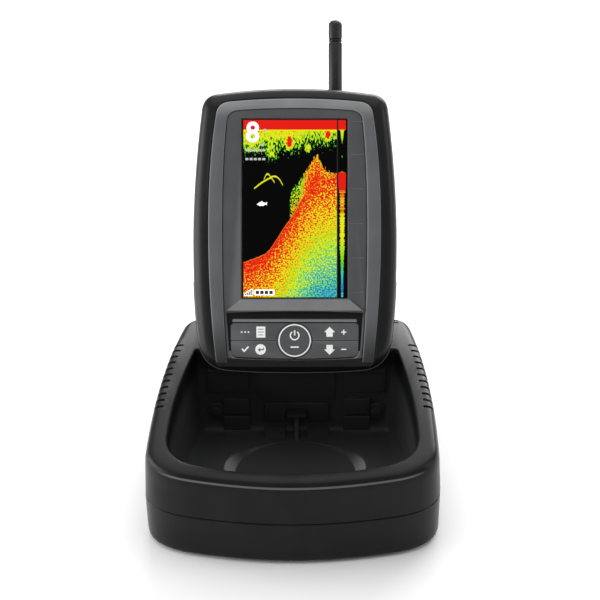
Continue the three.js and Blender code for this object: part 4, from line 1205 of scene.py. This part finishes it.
def aerial():
    """The folding aerial: a sleeve with two ring grooves on a pin, and a round-ended cap."""
    radius, dome_low = AERIAL_RADIUS, AERIAL_TIP - 3.4
    profile = [(0, CAP_LOW), (3.7, CAP_LOW), (radius, CAP_LOW + 0.35), (radius, dome_low)]
    for degrees in range(8, 90, 8):
        angle = math.radians(degrees)
        profile.append((radius * math.cos(angle), dome_low + 3.4 * math.sin(angle)))
    cap = turned(profile + [(0, AERIAL_TIP)], AERIAL_X, AERIAL_Z)
    piece("aerial_cap", cap, AERIAL_RUBBER, "black_rubber", "aerial_tip", body="aerial_rod")

    foot = [(0, 0), (3.2, 0), (3.7, 0.25), (radius, 1.2)]
    grooves = [
        (radius, -2.3), (3.85, -2.1), (3.55, -1.9), (3.55, -1.5), (3.85, -1.35), (radius, -1.1),
        (radius, -0.6), (3.75, -0.3), (0, -0.3),
    ]
    profile = [(r, SLEEVE_LOW + up) for r, up in foot] + [(r, CAP_LOW + up) for r, up in grooves]
    sleeve = as_object("aerial_rod_sleeve", turned(profile, AERIAL_X, AERIAL_Z))
    left, right = AERIAL_X - 1.9, AERIAL_X + 1.9
    combine(sleeve, rod("x", 3.6, left, right, (PIN_Y, AERIAL_Z), 40), "UNION")
    combine(sleeve, cuboid((left, PIN_Y, AERIAL_Z - 3), (right, SLEEVE_LOW + 1, AERIAL_Z + 3)), "UNION")
    cut(sleeve, rod("x", 1.5, AERIAL_X - 8, AERIAL_X + 8, (PIN_Y, AERIAL_Z), 24))
    finish_piece(sleeve, AERIAL_RUBBER, "black_rubber", "aerial_whip", body="aerial_rod", bevel=0.12)


def tilt_knobs():
    """Lobed clamping knobs on both ends of the tilt axis."""
    tilt = next(joint for joint in frame["joints"] if joint["name"] == "display_tilt")
    pivot = FACE.inverted() @ Vector(tilt["pos_m"])
    turns = [2 * math.pi * i / 96 for i in range(96)]
    lobes = [Vector((math.cos(a), math.sin(a))) * (8.45 + 0.55 * math.cos(8 * a)) for a in turns]
    head = [
        (1.4, 29.8), (0.5, 30.3), (0.0, 31.4), (0.0, 38.0), (0.4, 39.2), (1.2, 40.0), (2.4, 40.4),
        (4.0, 40.5), (5.0, 39.8), (7.0, 39.6),
    ]
    for side, name in ((1, "right"), (-1, "left")):
        knob = as_object(f"knob_{name}_grip", loft(rings(lobes, head)))
        combine(knob, rod("z", 2.5, 17, 31, (0, 0), 32), "UNION")
        knob.data.transform(Matrix(((0, 0, side, 0), (1, 0, 0, pivot.y), (0, 1, 0, pivot.z), (0, 0, 0, 1))))
        if side < 0:
            knob.data.flip_normals()
        finish_piece(knob, RUBBER, "black_rubber", f"tilt_knob_{name}", body=f"knob_{name}")


# ---- CAD pieces that stay

KEPT = {
    RUBBER: [
        "foot_1", "foot_2", "foot_3", "foot_4", "keypad_mat", "buzzer", "case_gasket", "charge_cover",
        "aerial_swivel",
    ],
    BASE_PLASTIC: ["tilt_bracket"],
    CASE_PLASTIC: ["pivot_lug"],
    BOARD: ["main_board"],
    CELL_WRAP: ["battery_pack"],
    BRASS: ["charge_socket", "aerial_jack"],
    STEEL: ["aerial_pin", "lcd_module"] + [name for name in frame["nodes"] if "_screw_" in name],
}


def dress_cad_pieces():
    """Gives every CAD solid that stays its material and smooth shading."""
    for material, names in KEPT.items():
        for name in names:
            mesh = frame["nodes"][name].data
            mesh.materials.clear()
            smooth(mesh, material, 32)


# ---- room and light


def floor():
    made = bmesh.new()
    bmesh.ops.create_grid(made, x_segments=1, y_segments=1, size=6)
    sheet = as_object("floor", made)
    shader = Shader("floor", (0.9, 0.9, 0.9), 0.6, specular=0.2)
    shade = shader.noise(shader.place(), 3.0)
    shader.feed(shader.blend(shade, (0.88, 0.88, 0.88), (0.92, 0.92, 0.92)), "Base Color")
    sheet.data.materials.append(shader.material)


def softbox(name, location, target, size, power):
    data = bpy.data.lights.new(name, "AREA")
    data.shape = "RECTANGLE"
    data.size, data.size_y = size
    data.energy = power
    lamp = bpy.data.objects.new(name, data)
    lamp.location = location
    lamp.rotation_euler = (Vector(target) - Vector(location)).to_track_quat("-Z", "Y").to_euler()
    bpy.context.scene.collection.objects.link(lamp)


def studio():
    world = bpy.data.worlds.new("studio")
    world.use_nodes = True
    backdrop = world.node_tree.nodes["Background"]
    backdrop.inputs["Color"].default_value = (1, 1, 1, 1)
    backdrop.inputs["Strength"].default_value = 0.42
    bpy.context.scene.world = world
    softbox("overhead", (0, 0.35, 1.8), (0, 0.35, 0), (2.4, 2.2), 24)
    softbox("back", (0.4, 1.5, 0.78), (0.1, 0, 0.06), (1.7, 0.5), 27)
    softbox("left", (-0.7, -0.1, 0.23), (0, -0.1, 0.2), (0.7, 0.42), 4.5)
    softbox("right", (1.1, -0.1, 0.5), (0, 0, 0.1), (0.3, 0.7), 2)
    bpy.context.scene.view_settings.view_transform = "Standard"


# ---- everything, in order

base_shells()
bezel()
trim_band()
fascia()
sill_highlight()
pocket_shade_sheet()
pocket_lip()
case_seam_highlight()
scale_ticks()
screen()
screen_marks()
keypad()
back_shell()
battery_cover()
aerial()
tilt_knobs()
dress_cad_pieces()
floor()
studio()
